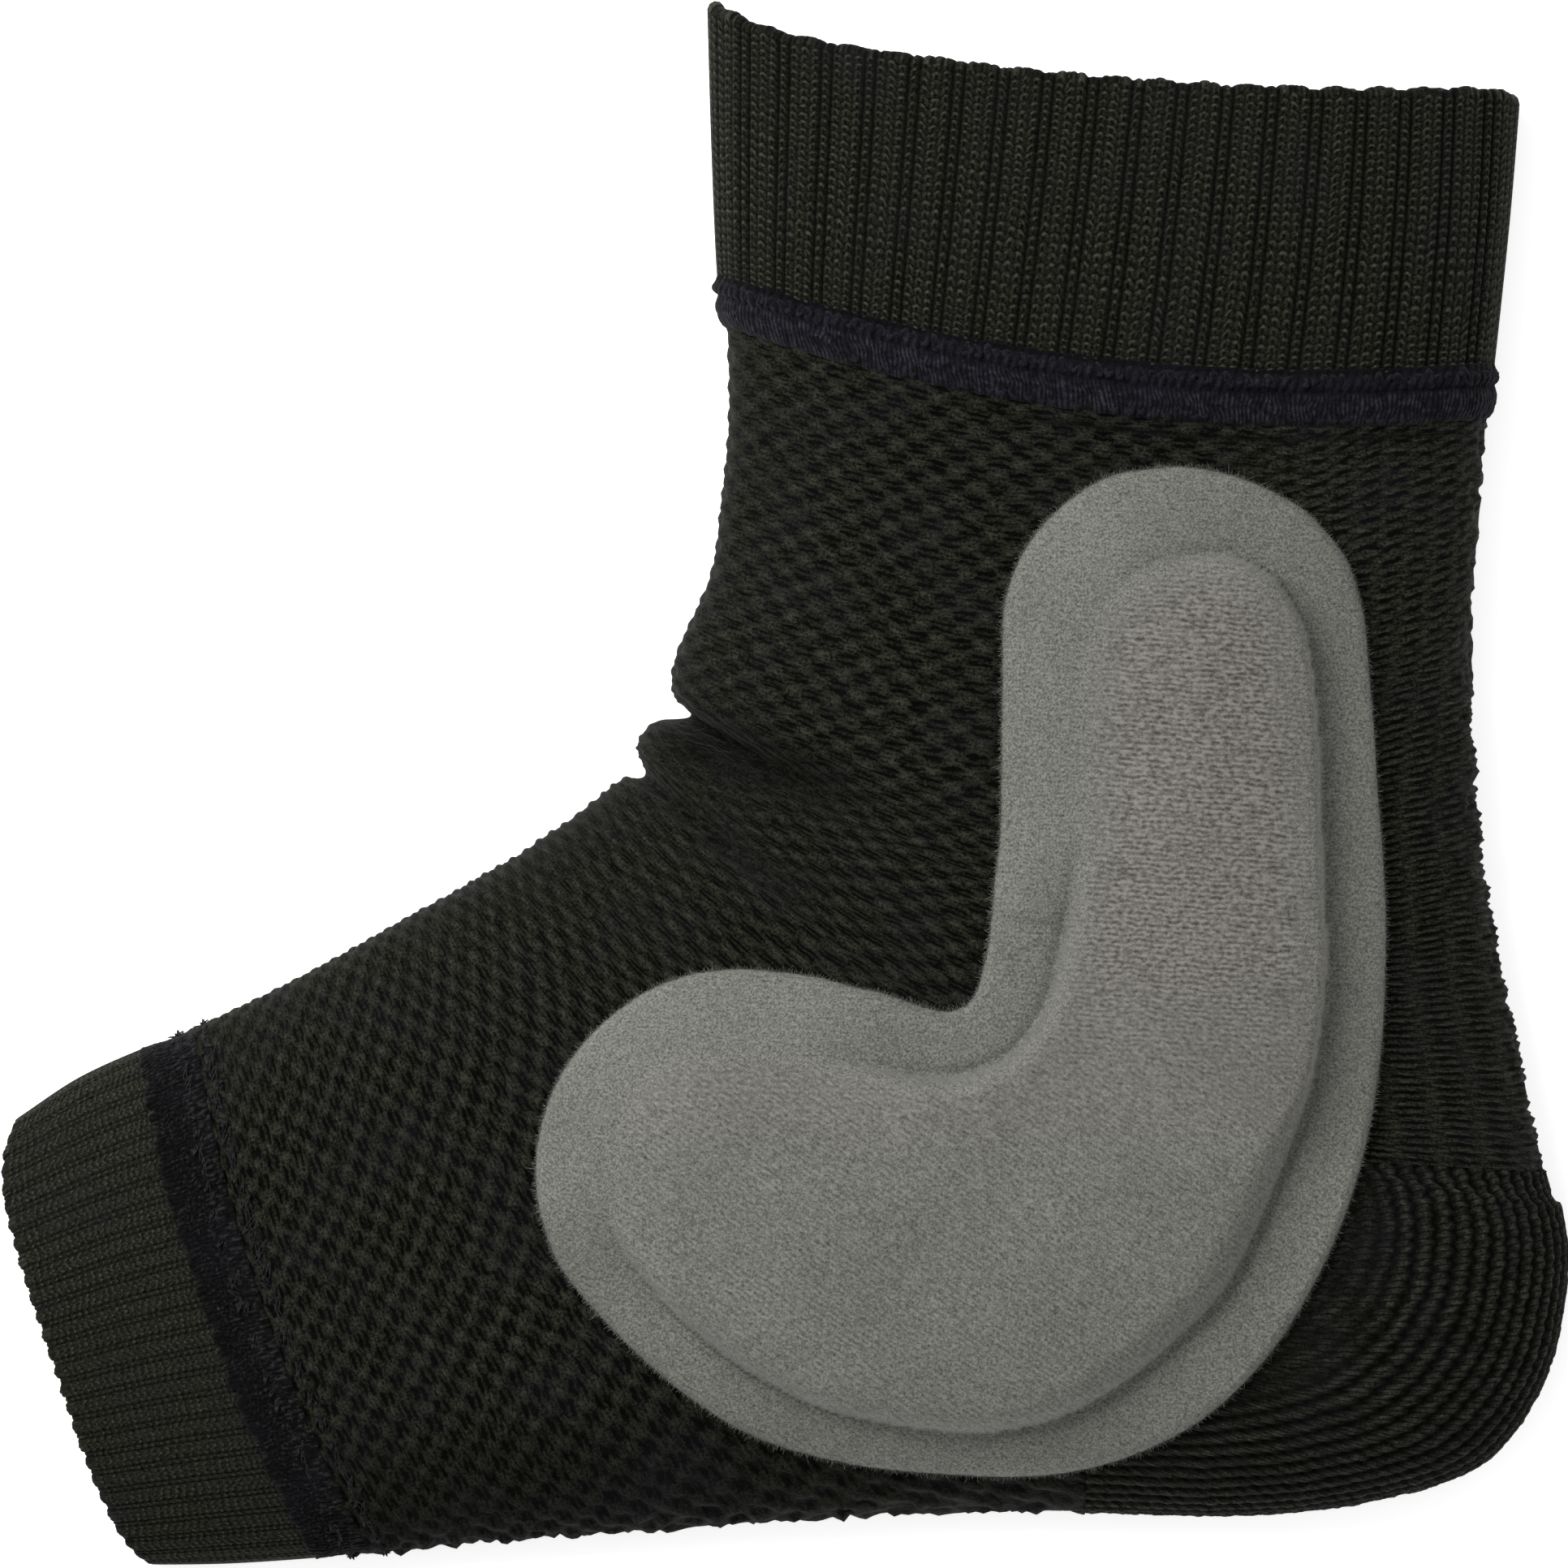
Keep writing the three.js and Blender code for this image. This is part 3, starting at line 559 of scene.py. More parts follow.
# velour pad: its outline, then the raised cushion's edge, in mm
pad = {
    "outline": [
        (57.2, 42.5), (62.0, 41.3), (66.4, 39.3), (70.3, 37.0), (73.3, 33.9), (75.4, 31.2), (76.9, 27.9),
        (78.3, 22.3), (78.9, 15.4), (79.6, 7.4), (80.1, -1.1), (80.8, -9.5), (81.2, -17.9), (81.1, -25.6),
        (80.7, -34.0), (79.3, -44.7), (76.4, -55.9), (71.6, -67.1), (65.0, -77.4), (56.1, -85.9),
        (45.4, -91.2), (34.7, -93.4), (23.0, -93.3), (9.3, -91.9), (-3.4, -88.4), (-12.5, -83.0),
        (-19.4, -77.3), (-24.5, -72.2), (-28.3, -67.9), (-30.9, -64.1), (-32.3, -60.4), (-33.2, -57.0),
        (-33.6, -54.0), (-33.6, -51.4), (-33.4, -48.5), (-32.4, -44.2), (-30.6, -39.8), (-28.1, -36.0),
        (-25.2, -32.8), (-22.0, -30.1), (-17.9, -27.5), (-12.2, -25.5), (-6.0, -24.9), (-0.6, -25.3),
        (4.5, -26.0), (9.0, -27.2), (13.1, -28.1), (16.6, -29.3), (19.5, -30.2), (21.8, -30.6),
        (23.8, -30.1), (25.3, -28.9), (26.4, -26.4), (27.6, -20.7), (28.3, -13.5), (29.1, -6.4),
        (29.2, 1.0), (29.3, 8.9), (29.4, 16.5), (29.5, 23.6), (31.2, 29.3), (33.1, 32.8), (35.2, 35.5),
        (38.1, 38.2), (41.4, 40.5), (45.0, 42.0), (49.0, 42.6), (53.0, 43.0),
    ],
    "cushion": [
        (59.7, 31.0), (65.2, 28.8), (67.7, 26.0), (70.2, 21.1), (71.3, 15.0), (72.1, 7.4), (72.5, -3.5),
        (72.9, -16.2), (73.2, -24.2), (71.8, -36.6), (69.7, -44.9), (64.4, -58.3), (59.6, -67.7),
        (53.1, -74.6), (45.4, -80.9), (36.6, -85.6), (26.7, -87.5), (17.9, -86.9), (10.2, -85.6),
        (3.6, -83.7), (-4.8, -79.4), (-10.6, -75.2), (-16.4, -69.9), (-22.1, -62.5), (-23.7, -56.4),
        (-23.8, -51.7), (-22.6, -45.4), (-20.6, -40.5), (-17.1, -37.0), (-10.7, -35.8), (-2.3, -35.8),
        (10.3, -37.8), (21.7, -39.5), (30.3, -36.5), (34.9, -30.6), (37.0, -23.9), (39.5, -9.9),
        (39.9, 1.9), (39.9, 13.3), (41.6, 21.7), (46.5, 27.7), (52.0, 30.3),
    ],
    "grid": 0.46, "clear": 0.3, "flange": 2.2, "rise": 5.2, "crown": 1.2, "crownReach": 14, "slope": 2.8,
    "wideSlope": 5.0, "steepSlope": 1.0, "softReach": 26.0, "groove": 0.5, "grooveWide": 1.2, "wave": 0.5,
    "edgeRound": 0.9, "crease": ((29.0, -17.6), (36.5, -20.0)), "flangeLight": 0.1,
    "fuzz": 6000, "fuzzLong": 0.42, "fuzzThick": 0.07,
}


def closedCurve(points, steps):
    points = np.array(points)
    k = np.arange(0, len(points), 1 / steps)
    i, p = np.floor(k).astype(int), (k % 1)[:, None]
    return through(*(points[(i + o) % len(points)] for o in (-1, 0, 1, 2)), p)


def toEdge(points, loop):  # distance to a closed line, positive inside, and the nearest point on it
    ends = np.roll(loop, -1, axis=0)
    way = ends - loop
    gap = np.empty(len(points))
    nearest = np.empty((len(points), 2))
    for i in range(0, len(points), 4000):
        p = points[i:i + 4000, None]
        s = np.clip(((p - loop) * way).sum(-1) / (way**2).sum(-1), 0, 1)
        foot = loop + s[..., None] * way
        far = np.linalg.norm(p - foot, axis=-1)
        best = far.argmin(1)
        crossing = (loop[:, 1] > p[..., 1]) != (ends[:, 1] > p[..., 1])
        at = loop[:, 0] + (p[..., 1] - loop[:, 1]) / np.where(way[:, 1] == 0, 1e-9, way[:, 1]) * way[:, 0]
        inside = (crossing & (p[..., 0] < at)).sum(1) % 2 == 1
        rows = np.arange(len(p))
        gap[i:i + 4000] = np.where(inside, 1, -1) * far[rows, best]
        nearest[i:i + 4000] = foot[rows, best]
    return gap, nearest


shift = np.array(brace["shift"])
padEdge = closedCurve(pad["outline"], 3) + shift
cushionEdge = closedCurve(pad["cushion"], 4) + shift

# smooth tube below the pad, for its height
bodyPlaces = np.linspace(2.5, 24.5, 240)
bodyTurns = np.linspace(0, 1, 160)
body = skin(np.repeat(bodyPlaces[:, None], 160, 1), anglesFor(bodyPlaces, bodyTurns))
bodyMesh, bodyLine, bodyColumn = planeMesh("bodySkin", 159, 239)
bodyMesh.vertices.foreach_set("co", body[bodyLine, bodyColumn].astype(np.float32).ravel())
bm = editMesh(bodyMesh)
bodyTree = BVHTree.FromBMesh(bm)
bm.free()
bpy.data.meshes.remove(bodyMesh)


def tubeHeight(x, y):
    hit = bodyTree.ray_cast(Vector((x, y, 100)), Vector((0, 0, -1)))[0]
    return hit.z if hit else brace["foldHeight"]


print("tube form ready")

# sleeve: staggered waffle knit, fine ribs at the back of the ankle. Its lists go by place along the tube
sleeve = {
    "turns": (264, 36), "lines": 431, "units": 21,
    "course": ([3, 7, 9, 14, 18, 24], [1.9, 1.9, 1.3, 1.3, 1.65, 1.75]),
    "backCourse": 1.9, "depth": 0.24, "ribPitch": ([3, 6, 8], [1.65, 1.55, 1.14]), "ribDepth": 0.5,
    "columns": ([3, 6, 8], [31, 29, 23]), "tilt": ([3, 6, 8], [0.45, 0.4, 0.08]),
    "folds": ((9.4, 1.1, 1.0), (12, 0.6, 0.9)), "gather": 0.97, "tuck": ((-12.2, 6.0), (5.0, 0.4)),
    "tuckShade": 0.78, "tuckShadeWide": 3.4, "soleShade": 0.38, "firstSlits": 3.2, "firstSlitShade": 0.75,
    "fibre": (90, 600), "grain": 0.085, "gaps": "slits", "gap": (0.0012, 0.0012, 0.001),
    "yarn": (0.0105, 0.0108, 0.0076), "bright": (0.028, 0.0283, 0.0214),
}
heel = {
    "sole": (40.7, -88.0), "corner": (68.0, -50.2), "back": (120.0, -53.6), "proud": 0.25,
    "pitch": ([0, 10, 18, 30], [2.4, 2.5, 2.8, 3.4]), "backTight": 0.2, "bead": 0.95, "depth": 0.55,
    "knots": 0.3, "zigzag": 0.1, "fibre": (480, 100), "grain": 0.12, "gaps": "stitches", "arch": 1.6,
    "line": 0.75, "slit": 0.0, "gap": (0.0009, 0.001, 0.0008), "yarn": (0.0085, 0.0088, 0.0066),
    "bright": (0.0252, 0.0254, 0.0197),
}
coursePlaces = np.linspace(3, 24, 421)


def runAlong(turn):  # length walked from the seam at one turn, for each place
    walk = skin(coursePlaces[:, None], anglesFor(coursePlaces, np.array([turn])))[:, 0]
    return np.append(0, np.cumsum(np.linalg.norm(np.diff(walk, axis=0), axis=1)))


frontRun, backRun = runAlong(0.25), runAlong(0.97)
courseAt = np.append(0, np.cumsum(np.diff(frontRun) / np.interp(coursePlaces[1:], *sleeve["course"])))
ribRun = np.append(0, np.cumsum(np.diff(backRun) / np.interp(coursePlaces[1:], *sleeve["ribPitch"])))


def waffle(place, turn, plan):
    place, turn = np.broadcast_arrays(place, turn)
    side = np.where(turn < 0, -turn, np.where(turn > 1, 2 - turn, turn))  # same courses on both faces
    toBack = ease(0.5, 0.86, side) * (1 - ease(12, 17, place))
    sway = softNoise(plan[..., 0] / 9, plan[..., 1] / 9, 41) - 0.5
    back = np.interp(place, coursePlaces, backRun)
    course = np.interp(place, coursePlaces, courseAt) * (1 - toBack)
    course += back / sleeve["backCourse"] * toBack + 0.35 * sway
    units = sleeve["units"]
    unit = np.interp(turn, [-0.5, 0, 1, 1.5], [-10, 0, units, units + 10])
    unit = unit + 0.18 * (softNoise(plan[..., 0] / 7, plan[..., 1] / 7, 43) - 0.5)
    folds = np.max([size * np.exp(-(((place - at) / wide) ** 2)) for at, wide, size in sleeve["folds"]], 0)
    gather = sleeve["gather"] * folds * ease(0.3, 0.08, side)  # in the instep folds
    bump = np.cos(2 * math.pi * unit) * np.cos(math.pi * course) * (1 - gather)
    fill = 0.7 + 0.6 * softNoise(np.floor(unit * 2) * 1.7, np.floor(course) * 1.3, 44)
    column = (1 - side) * np.interp(place, *sleeve["columns"])
    ribAt = np.interp(place, coursePlaces, ribRun) + 1.2 * sway - np.interp(place, *sleeve["tilt"]) * column
    wave, turned = np.cos(2 * math.pi * ribAt), 0.5 + 0.5 * np.cos(math.pi * column)
    rib = np.maximum(turned * (wave + 0.8), (1 - turned) * (0.8 - wave)) / 1.8  # columns interlock
    ribbed = ease(0.62, 0.74, side) * (0.95 + 0.05 * ease(5.5, 7, place)) * (1 - ease(12.6, 13.2, place))
    relief = sleeve["depth"] * (bump * fill * (1 + 0.6 * ease(0.5, 0.8, side)) - 0.4) * (1 - ribbed)
    relief = relief + sleeve["ribDepth"] * (rib - 0.6) * ribbed * ease(6.2, 7.2, place)
    tuft = softNoise(back / 1.1, unit * 3, 46) - 0.5
    relief = relief + (0.9 + 0.3 * ease(6, 8, place)) * tuft * ease(0.86, 0.98, side)
    # painted highlight on the raised cells and rib crests
    lift = (0.58 + 0.2 * bump * fill) * (1 - ribbed) + (0.56 + 0.4 * rib) * ribbed
    lift = lift * (1 - 0.13 * ease(0.14, 0.02, side))
    # painted shade where the fold turns down towards the sole
    lift = lift * (1 - sleeve["soleShade"] * ease(0.66, 0.92, side) * ease(15, 18, place))
    a, b = np.array(sleeve["tuck"])  # painted shadow below the instep fold
    part = np.clip((plan[..., :2] - a) @ (b - a) / ((b - a) @ (b - a)), 0, 1)
    gap = np.linalg.norm(plan[..., :2] - a - part[..., None] * (b - a), axis=-1)
    tuck = sleeve["tuckShade"] * np.exp(-((gap / sleeve["tuckShadeWide"]) ** 2)) * (1 - 0.6 * part)
    lift = lift * (1 - tuck * (turn < 1))
    under = np.exp(-(((place - sleeve["firstSlits"] - 0.06 * sway) / 0.035) ** 2))  # painted shade in a row of slits a little below the seam
    lift = lift * (1 - sleeve["firstSlitShade"] * under * ease(0.3, 0.5, side) * ease(0.96, 0.88, side))
    slits = 0.65 + 0.45 * ease(0.03, 0.3, side) + 0.2 * ease(0.5, 0.8, side)
    slits = slits * (1 - ribbed) * (0.8 + 0.5 * (fill - 0.7)) * (1 - gather)
    fields = {"lift": np.clip(lift, 0, 1), "open": slits, "rib": ribAt, "column": column, "ribbed": ribbed,
              "gather": gather}
    return relief, np.stack([unit / yarn["waffleUv"][0], course / yarn["waffleUv"][1]], -1), fields


def heelKnit(place, turn, plan):
    place, turn = np.broadcast_arrays(place, turn)
    behind, front = (skin(place, np.full(place.shape, a)) for a in (0.0, math.pi))
    inward = (1 - np.minimum(turn, 2 - turn)) * (np.linalg.norm(behind - front, axis=-1) + 20)
    along = np.interp(place, coursePlaces, backRun) * (1 - 0.004 * inward)
    jig = softNoise(plan[..., 0] / 4, plan[..., 1] / 4, 51) - 0.5
    zigzag = heel["zigzag"] * np.cos(math.pi * along / heel["bead"])
    steps = np.linspace(0, 140, 281)
    counts = np.append(0, np.cumsum(0.5 / np.interp(steps[1:], *heel["pitch"])))
    reach = inward * (1 + heel["backTight"] * ease(16.5, 14, place))
    rib = np.interp(reach, steps, counts) * np.where(turn > 1, -1, 1) + 0.15 * jig + zigzag
    ridge = 0.5 + 0.5 * np.cos(2 * math.pi * rib)
    calm = ease(38, 30, inward) * 0.75 + 0.25
    knots = softNoise(along / 0.85, rib * 1.4, 52) - 0.5
    relief = heel["proud"] + heel["depth"] * (ridge**0.8 - 1) * calm + heel["knots"] * knots
    # painted highlight on the rib crests and painted shade between them, calmer inwards, with random tone
    # from the knots
    lift = ((0.02 + 0.9 * ridge**0.6) * calm + 0.6 * (1 - calm)) * (1 + 0.5 * knots)
    uvWide, uvLong = yarn["ribUv"]
    uv = np.stack([(rib + 0.5) / uvWide, (along / heel["bead"] + 0.5 * rib) / uvLong], -1)
    return relief, uv, {"lift": np.clip(lift, 0, 1)}


def tubeSheet(name, turns, places, inset, pattern):  # one open layer of the tube
    angle = anglesFor(places, turns)
    base = skin(np.repeat(places[:, None], len(turns), 1), angle, inset)
    flatCount = base.shape[0] * base.shape[1]
    if pattern:
        height, uv, fields = pattern(places[:, None], turns[None, :], base)
        covered = toEdge(base[..., :2].reshape(flatCount, 2), padEdge)[0].reshape(angle.shape)
        covered = np.where((turns[None, :] > 0.02) & (turns[None, :] < 0.98), covered, -50)
        height = height * (1 - ease(0.5, 2.5, covered)) - 0.2 * ease(0.5, 2.5, covered)
    else:
        covered, fields = np.full(angle.shape, -50.0), {"lift": np.full(angle.shape, 0.5)}
        uv = np.stack(np.broadcast_arrays(turns[None, :], places[:, None] / 8), -1)
    points = liftedPoints(base, height) if pattern else base
    if turns[-1] - turns[0] > 1.99:
        points[:, -1] = points[:, 0]
    mesh, line, column = planeMesh(name, len(turns) - 1, len(places) - 1)
    bendMesh(mesh, line, column, points, uv, {**fields, "covered": covered})
    return mesh


def thinCovered(bm, mesh):  # fewer faces where the pad hides the knit
    inside = np.empty(len(mesh.vertices), np.float32)
    mesh.attributes["covered"].data.foreach_get("value", inside)
    corner = np.empty(len(mesh.loops), np.int32)
    mesh.loops.foreach_get("vertex_index", corner)
    hidden = np.nonzero((inside[corner.reshape(-1, 4)] > 3.2).all(1))[0]
    bm.faces.ensure_lookup_table()
    chosen = {bm.faces[i] for i in hidden}
    edges = [e for e in bm.edges if e.link_faces and all(f in chosen for f in e.link_faces)]
    ends = {v for e in edges for v in e.verts}
    verts = [v for v in bm.verts if v in ends]  # in the mesh's own order, the same each run
    bmesh.ops.dissolve_limit(bm, angle_limit=math.radians(3), verts=verts, edges=edges)


heelSeams = [(heel["sole"][0], -120.0), heel["sole"], heel["corner"], heel["back"]]
wedge = []  # the heel's three seams, as upright planes that face out of the heel
for a, b in zip(heelSeams, heelSeams[1:]):
    way = Vector((b[0] - a[0], b[1] - a[1], 0)).normalized()
    at = Vector((a[0] + shift[0], a[1] + shift[1], 0)) * mm
    wedge.append((at, Vector((-way.y, way.x, 0))))


def cutAtHeel(bm, **clear):
    for at, out in wedge:
        bmesh.ops.bisect_plane(bm, geom=bm.verts[:] + bm.edges[:] + bm.faces[:], dist=1e-7,
                               plane_co=at, plane_no=out, **clear)


def joinLayers(bm, edges):
    if edges:
        bmesh.ops.bridge_loops(bm, edges=edges)


def openEdges(bm, test):
    return [e for e in bm.edges if len(e.link_faces) == 1 and test((e.verts[0].co + e.verts[1].co) / 2)]


def closeBody(bm, mesh, inside):
    bmesh.ops.recalc_face_normals(bm, faces=bm.faces)
    print(mesh.name, "open edges", len(openEdges(bm, lambda p: True)))
    putMesh(bm, mesh)
    bpy.data.meshes.remove(inside)


# sleeve: both layers, less the heel, with more lines where the ankle's ribs are
finer = np.interp(coursePlaces[1:], [6.5, 7, 12.6, 13], [1, 2.2, 2.2, 1])
dense = np.append(0, np.cumsum(finer * np.diff(0.5 * frontRun + 0.5 * backRun)))
outerPlaces = np.interp(np.linspace(0, dense[-1], sleeve["lines"]), dense, coursePlaces)
sleeveMesh = tubeSheet("sleeveKnit", roundTurns(*sleeve["turns"]), outerPlaces, 0.0, waffle)
innerMesh = tubeSheet("sleeveInside", roundTurns(44, 24), np.linspace(3, 24, 75), brace["wall"], None)
print("sleeve layers made")
bm = editMesh(sleeveMesh)
thinCovered(bm, sleeveMesh)
bmesh.ops.recalc_face_normals(bm, faces=bm.faces)
bm.from_mesh(innerMesh)
bmesh.ops.remove_doubles(bm, verts=bm.verts, dist=2e-6)
cutAtHeel(bm)
inHeel = [f for f in bm.faces if all((f.calc_center_median() - at).dot(out) < 0 for at, out in wedge)]
bmesh.ops.delete(bm, geom=inHeel, context="FACES")
joinLayers(bm, openEdges(bm, lambda p: p.y > 0.03))
joinLayers(bm, openEdges(bm, lambda p: p.x < -0.05))
joinLayers(bm, openEdges(bm, lambda p: p.x > 0.03))
closeBody(bm, sleeveMesh, innerMesh)
sleeveFinish = knitFinish("sleeveYarn", sleeve)
sleevePiece = finishPiece(sleeveMesh, "sleeveKnit", "sleeve", sleeveFinish)

# heel pocket, cut from the same tube
heelPart = slice(160, 341)
heelRun = backRun[heelPart] - backRun[heelPart][0]
heelPlaces = np.interp(np.linspace(0, 1, 401), heelRun / heelRun[-1], coursePlaces[heelPart])
heelTurns = np.concatenate([np.linspace(0.45, 1, 250, endpoint=False), np.linspace(1, 1.55, 91)])
heelMesh = tubeSheet("heelKnit", heelTurns, heelPlaces, 0.0, heelKnit)
innerTurns, innerPlaces = np.linspace(0.4, 1.6, 45), np.linspace(10.5, 20.5, 41)
innerMesh = tubeSheet("heelInside", innerTurns, innerPlaces, brace["wall"], None)
bm = editMesh(heelMesh)
thinCovered(bm, heelMesh)
bm.from_mesh(innerMesh)
cutAtHeel(bm, clear_outer=True)
joinLayers(bm, openEdges(bm, lambda p: True))
closeBody(bm, heelMesh, innerMesh)
heelPiece = finishPiece(heelMesh, "heelKnit", "heel_cup", knitFinish("heelYarn", heel))


# pad: a flat grid cut to the outline, then raised over the sleeve
def padHeight(plan):  # height over the sleeve, and distance into the cushion
    rim = toEdge(plan, padEdge)[0]
    inside = toEdge(plan, cushionEdge)[0]
    x, y = plan[:, 0], plan[:, 1]
    soft = np.maximum(ease(66, 42, x) * ease(-24, -6, y), ease(22, 0, x) * ease(-72, -54, y))
    wide = ease(25, 50, x) * ease(-35, -60, y)
    steep = ease(60, 68, x) * ease(-52, -38, y)
    slope = pad["slope"] + (pad["wideSlope"] - pad["slope"]) * wide
    slope = slope + (pad["steepSlope"] - pad["slope"]) * steep
    s, t = np.clip(inside / slope, 0, 1), np.clip(rim / pad["softReach"], 0, 1)
    dome = np.sqrt(1 - (1 - s) ** 2) * (1 - soft) + np.sin(math.pi / 2 * t) * soft
    dome = pad["rise"] * dome + pad["crown"] * (1 - np.exp(-np.maximum(inside, 0) / pad["crownReach"]))
    groove = pad["groove"] * np.exp(-((inside / pad["grooveWide"]) ** 2))
    groove = groove * (1 - 0.75 * soft) * (1 - 0.7 * steep)
    a, b = np.array(pad["crease"]) + shift
    way = (b - a) / np.linalg.norm(b - a)
    beside = (plan - a) @ np.array((-way[1], way[0]))
    along = (plan - a) @ way / np.linalg.norm(b - a)
    crease = 0.45 * np.exp(-((beside / 0.7) ** 2)) - 0.3 * np.exp(-(((beside - 1.6) / 1.2) ** 2))
    groove = groove + crease * ease(-0.1, 0.5, along) * ease(1.1, 0.5, along)
    wave = pad["wave"] * (softNoise(x / 14 + 30, y / 14 + 30, 61) - 0.5)
    edgeCurve = np.sqrt(1 - np.clip(1 - np.maximum(rim, 0) / pad["edgeRound"], 0, 1) ** 2)
    flange = pad["clear"] + (pad["flange"] - pad["clear"]) * (0.35 + 0.65 * edgeCurve)
    return flange + wave * ease(0, 4, rim) + dome - groove, inside


low, high = padEdge.min(0) - 1, padEdge.max(0) + 1
columns, lines = (np.ceil((high - low) / pad["grid"])).astype(int)
padMesh, padLine, padColumn = planeMesh("padVelour", int(columns), int(lines))
plan = low + np.stack([padColumn / columns, padLine / lines], -1) * (high - low)
rim = toEdge(plan, padEdge)[0]
bm = editMesh(padMesh)
flangeLightLayer = bm.verts.layers.float.new("flangeLight")
insideLayer = bm.verts.layers.float.new("inside")
bm.verts.ensure_lookup_table()
for v in bm.verts:
    v.co = (plan[v.index, 0] * mm, plan[v.index, 1] * mm, 0)
bmesh.ops.delete(bm, geom=[bm.verts[i] for i in np.nonzero(rim < -0.15)[0]], context="VERTS")
lonely = [f for f in bm.faces if sum(e.is_boundary for e in f.edges) > 2]
bmesh.ops.delete(bm, geom=lonely, context="FACES")
bmesh.ops.delete(bm, geom=[v for v in bm.verts if not v.link_faces], context="VERTS")
borderVerts = [v for v in bm.verts if v.is_boundary]
spots = toEdge(np.array([v.co[:2] for v in borderVerts]) / mm, padEdge)[1]
for v, spot in zip(borderVerts, spots):
    v.co.x, v.co.y = spot[0] * mm, spot[1] * mm
bottom = list(bm.verts)
raised = bmesh.ops.extrude_face_region(bm, geom=bm.faces[:], use_keep_orig=True)
topVerts = [g for g in raised["geom"] if isinstance(g, bmesh.types.BMVert)]
plan = np.array([v.co[:2] for v in topVerts]) / mm
height, inside = padHeight(plan)
for v, spot, h, d in zip(topVerts, plan, height, inside):
    v.co.z = (tubeHeight(*spot) + h) * mm
    # painted light: the flange paler towards its lower right, outside the cushion
    v[flangeLightLayer] = 1 + pad["flangeLight"] * ease(-0.5, -2.5, d) * ease(36, 56, spot[0]) * ease(-44, -60, spot[1])
    v[insideLayer] = d
for v in bottom:
    v.co.z = (tubeHeight(v.co.x / mm, v.co.y / mm) + pad["clear"]) * mm
inner = [v for v in bottom if not any(e.other_vert(v)[flangeLightLayer] for e in v.link_edges)]
hidden = set(inner)  # fewer faces on the underside
innerEdges = [e for e in bm.edges if e.verts[0] in hidden or e.verts[1] in hidden]
bmesh.ops.dissolve_limit(bm, angle_limit=math.radians(1.5), verts=inner, edges=innerEdges)
bmesh.ops.recalc_face_normals(bm, faces=bm.faces)


# short fibres that stand out from the cut edge: strips of one long grid, given thickness and laid in place
def edgeFuzz(count):
    rng = np.random.default_rng(71)
    ends = np.roll(padEdge, -1, axis=0)
    walk = np.append(0, np.cumsum(np.linalg.norm(ends - padEdge, axis=1)))
    spots = (np.arange(count) + rng.random(count)) / count * walk[-1]
    k = np.clip(np.searchsorted(walk, spots, side="right") - 1, 0, len(padEdge) - 1)
    along = (ends - padEdge)[k] / (walk[k + 1] - walk[k])[:, None]
    roots = padEdge[k] + along * (spots - walk[k])[:, None]
    turnSign = np.sign((padEdge[:, 0] * ends[:, 1] - ends[:, 0] * padEdge[:, 1]).sum())
    out = np.stack([along[:, 1], -along[:, 0]], -1) * turnSign
    bm = bmesh.new()
    bmesh.ops.create_grid(bm, x_segments=2 * count, y_segments=1, size=0.5)
    spare = [f for f in bm.faces if int((f.calc_center_median().x + 0.5) * 2 * count) % 2]
    bmesh.ops.delete(bm, geom=spare, context="FACES")
    made = bmesh.ops.extrude_face_region(bm, geom=bm.faces[:], use_keep_orig=True)
    upper = {g for g in made["geom"] if isinstance(g, bmesh.types.BMVert)}
    ways = []
    for i in range(count):
        side = Vector((*along[i], 0))
        way = Vector((*out[i], 0)) + side * rng.normal(0, 0.5) + Vector((0, 0, rng.normal(0.1, 0.4)))
        way.normalize()
        across = way.cross(Vector((0, 0, 1))).normalized()
        root = Vector((*roots[i], tubeHeight(*roots[i]) + pad["clear"] + rng.uniform(0.2, 1.2))) - way * 0.1
        ways.append((root, way * pad["fuzzLong"] * rng.gamma(3, 0.33), across, way.cross(across)))
    for v in bm.verts:
        spot = (v.co.x + 0.5) * count
        i = int(spot + 0.1)
        root, way, across, up = ways[min(i, count - 1)]
        atTip = v.co.y > 0
        wide = pad["fuzzThick"] * (0.25 if atTip else 1)
        place = root + way * atTip + across * wide * (0.5 if spot - i > 0.25 else -0.5)
        v.co = (place + up * wide * (0.5 if v in upper else -0.5)) * mm
    bmesh.ops.recalc_face_normals(bm, faces=bm.faces)
    return putMesh(bm, bpy.data.meshes.new("edgeFuzz"))


fuzzMesh = edgeFuzz(pad["fuzz"])
bm.from_mesh(fuzzMesh)
bpy.data.meshes.remove(fuzzMesh)
for v in bm.verts:
    v[flangeLightLayer] = max(1, v[flangeLightLayer])
putMesh(bm, padMesh)

# velour: rows of small dark dashes, level on the stem, slanting and fainter on the lobe
velour = {
    "slants": (0.07, 0.6), "dash": (1350, 1900, 300), "rowPitch": 0.00074, "rowSway": 9.0, "wave": 0.075,
    "dark": (0.053, 0.0515, 0.0472), "mid": (0.117, 0.1145, 0.105), "light": (0.207, 0.202, 0.187),
    "lobe": (-0.024, -0.052), "warm": (1.02, 0.99, 0.98, 1), "cool": (0.985, 1.005, 0.985, 1), "bump": 0.45,
}


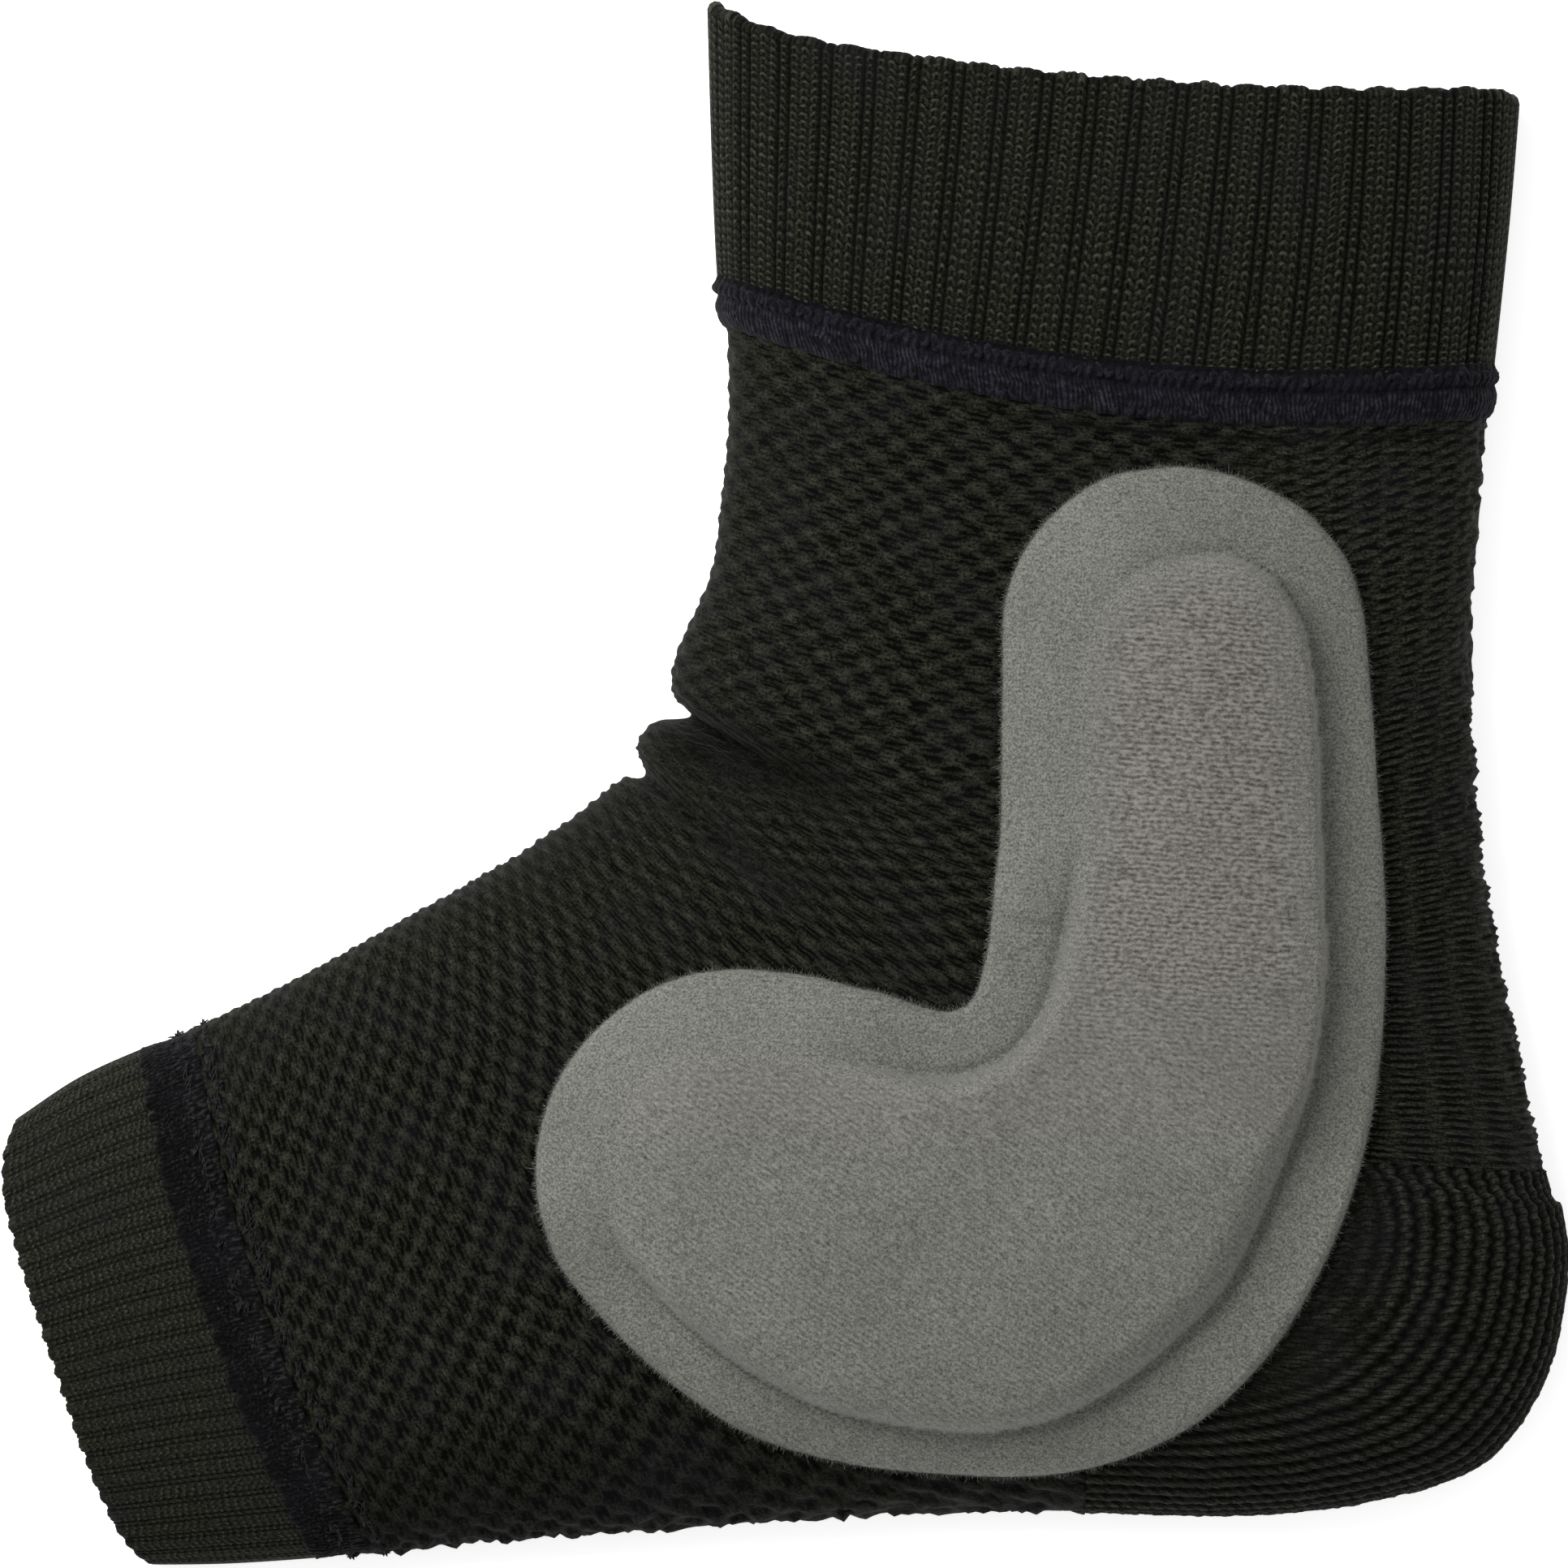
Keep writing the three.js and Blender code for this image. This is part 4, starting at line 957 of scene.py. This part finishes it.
def velourFinish():
    finish = Finish("padVelour", Roughness=0.92, Specular_IOR_Level=0.1, Sheen_Weight=0.12,
                    Sheen_Roughness=0.5)
    m = finish.math
    place = finish.add("TexCoord").outputs["Object"]
    rows = []
    for slant in velour["slants"]:
        way = finish.mapped(place, Rotation=(0, 0, slant))
        cut = finish.noise(finish.mapped(way, Scale=velour["dash"]), 1.0, 2.0, 0.6)
        level = m("MULTIPLY", finish.parts(way)[1], 2 * math.pi / velour["rowPitch"])
        level = m("ADD", level, m("MULTIPLY", finish.noise(way, 350.0), velour["rowSway"]))
        rows.append(m("ADD", cut, m("MULTIPLY", m("COSINE", level), velour["wave"])))
    lobe = finish.spread(finish.parts(place)[1], *velour["lobe"])
    inside = finish.field("inside")
    onDome = finish.spread(inside, 0.5, 6.0, 0.75, 0.15)
    plain = m("MAXIMUM", onDome, finish.spread(lobe, 0.0, 1.0, 0.0, 0.6))
    dash = finish.mix(lobe, *rows, kind="FLOAT")
    pile = finish.mix(plain, dash, finish.noise(place, 3400.0), kind="FLOAT")
    colour = finish.steps(pile, [(0.3, velour["dark"]), (0.46, velour["mid"]), (0.64, velour["light"])])
    cloud = finish.spread(finish.noise(place, 60.0, 3.0), 0.3, 0.7, 0.93, 1.07)
    # random cloud tone, times the painted light on the lower right of the flange
    colour = finish.mix(1.0, colour, m("MULTIPLY", cloud, finish.field("flangeLight")), "MULTIPLY")
    cool = m("MAXIMUM", lobe, finish.spread(inside, 0.0, 6.0, 1.0, 0.0))
    tone = finish.mix(cool, velour["warm"], velour["cool"])
    return finish.done(finish.mix(1.0, colour, tone, "MULTIPLY"), pile, velour["bump"])


padPiece = finishPiece(padMesh, "padVelour", "ankle_pad", velourFinish())

# pale floor, soft light from the upper left, camera straight above
studio = {
    "key": 14.0, "keySize": 0.7, "keyAt": (-0.6, 0.5, 0.8), "fill": 0.55, "glow": 0.65, "floorDrop": 0.0003,
    "view": 0.2125, "viewLevel": 0.006, "aim": (-0.00081, -0.00002), "height": 5.0, "sensor": 36,
}
bm = bmesh.new()
bmesh.ops.create_grid(bm, x_segments=1, y_segments=1, size=3)
bmesh.ops.translate(bm, verts=bm.verts, vec=(0, 0, -studio["floorDrop"]))
floorMesh = putMesh(bm, bpy.data.meshes.new("floor"))
floorMesh.materials.append(Finish(
    "paleFloor", Base_Color=(0.9, 0.9, 0.9, 1), Roughness=0.9, Specular_IOR_Level=0.1,
    Emission_Color=(1, 1, 1, 1), Emission_Strength=studio["glow"]).material)
floor = bpy.data.objects.new("floor", floorMesh)
bpy.context.scene.collection.objects.link(floor)
floor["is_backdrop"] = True

keyData = bpy.data.lights.new("softKey", "AREA")
keyData.size = studio["keySize"]
keyData.energy = studio["key"]
key = bpy.data.objects.new("softKey", keyData)
key.location = studio["keyAt"]
key.rotation_euler = (-key.location).to_track_quat("-Z", "Y").to_euler()
bpy.context.scene.collection.objects.link(key)

world = bpy.data.worlds.new("studio")
world.use_nodes = True
world.node_tree.nodes["Background"].inputs["Color"].default_value = (1, 1, 1, 1)
world.node_tree.nodes["Background"].inputs["Strength"].default_value = studio["fill"]
bpy.context.scene.world = world

cameraData = bpy.data.cameras.new("camera")
cameraData.sensor_width = studio["sensor"]
cameraData.lens = studio["sensor"] * (studio["height"] - studio["viewLevel"]) / studio["view"]
cameraData.clip_end = 50
camera = bpy.data.objects.new("camera", cameraData)
camera.location = (*studio["aim"], studio["height"])
bpy.context.scene.collection.objects.link(camera)
bpy.context.scene.camera = camera
bpy.context.scene.view_settings.view_transform = "Standard"
print("studio ready")

low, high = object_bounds()
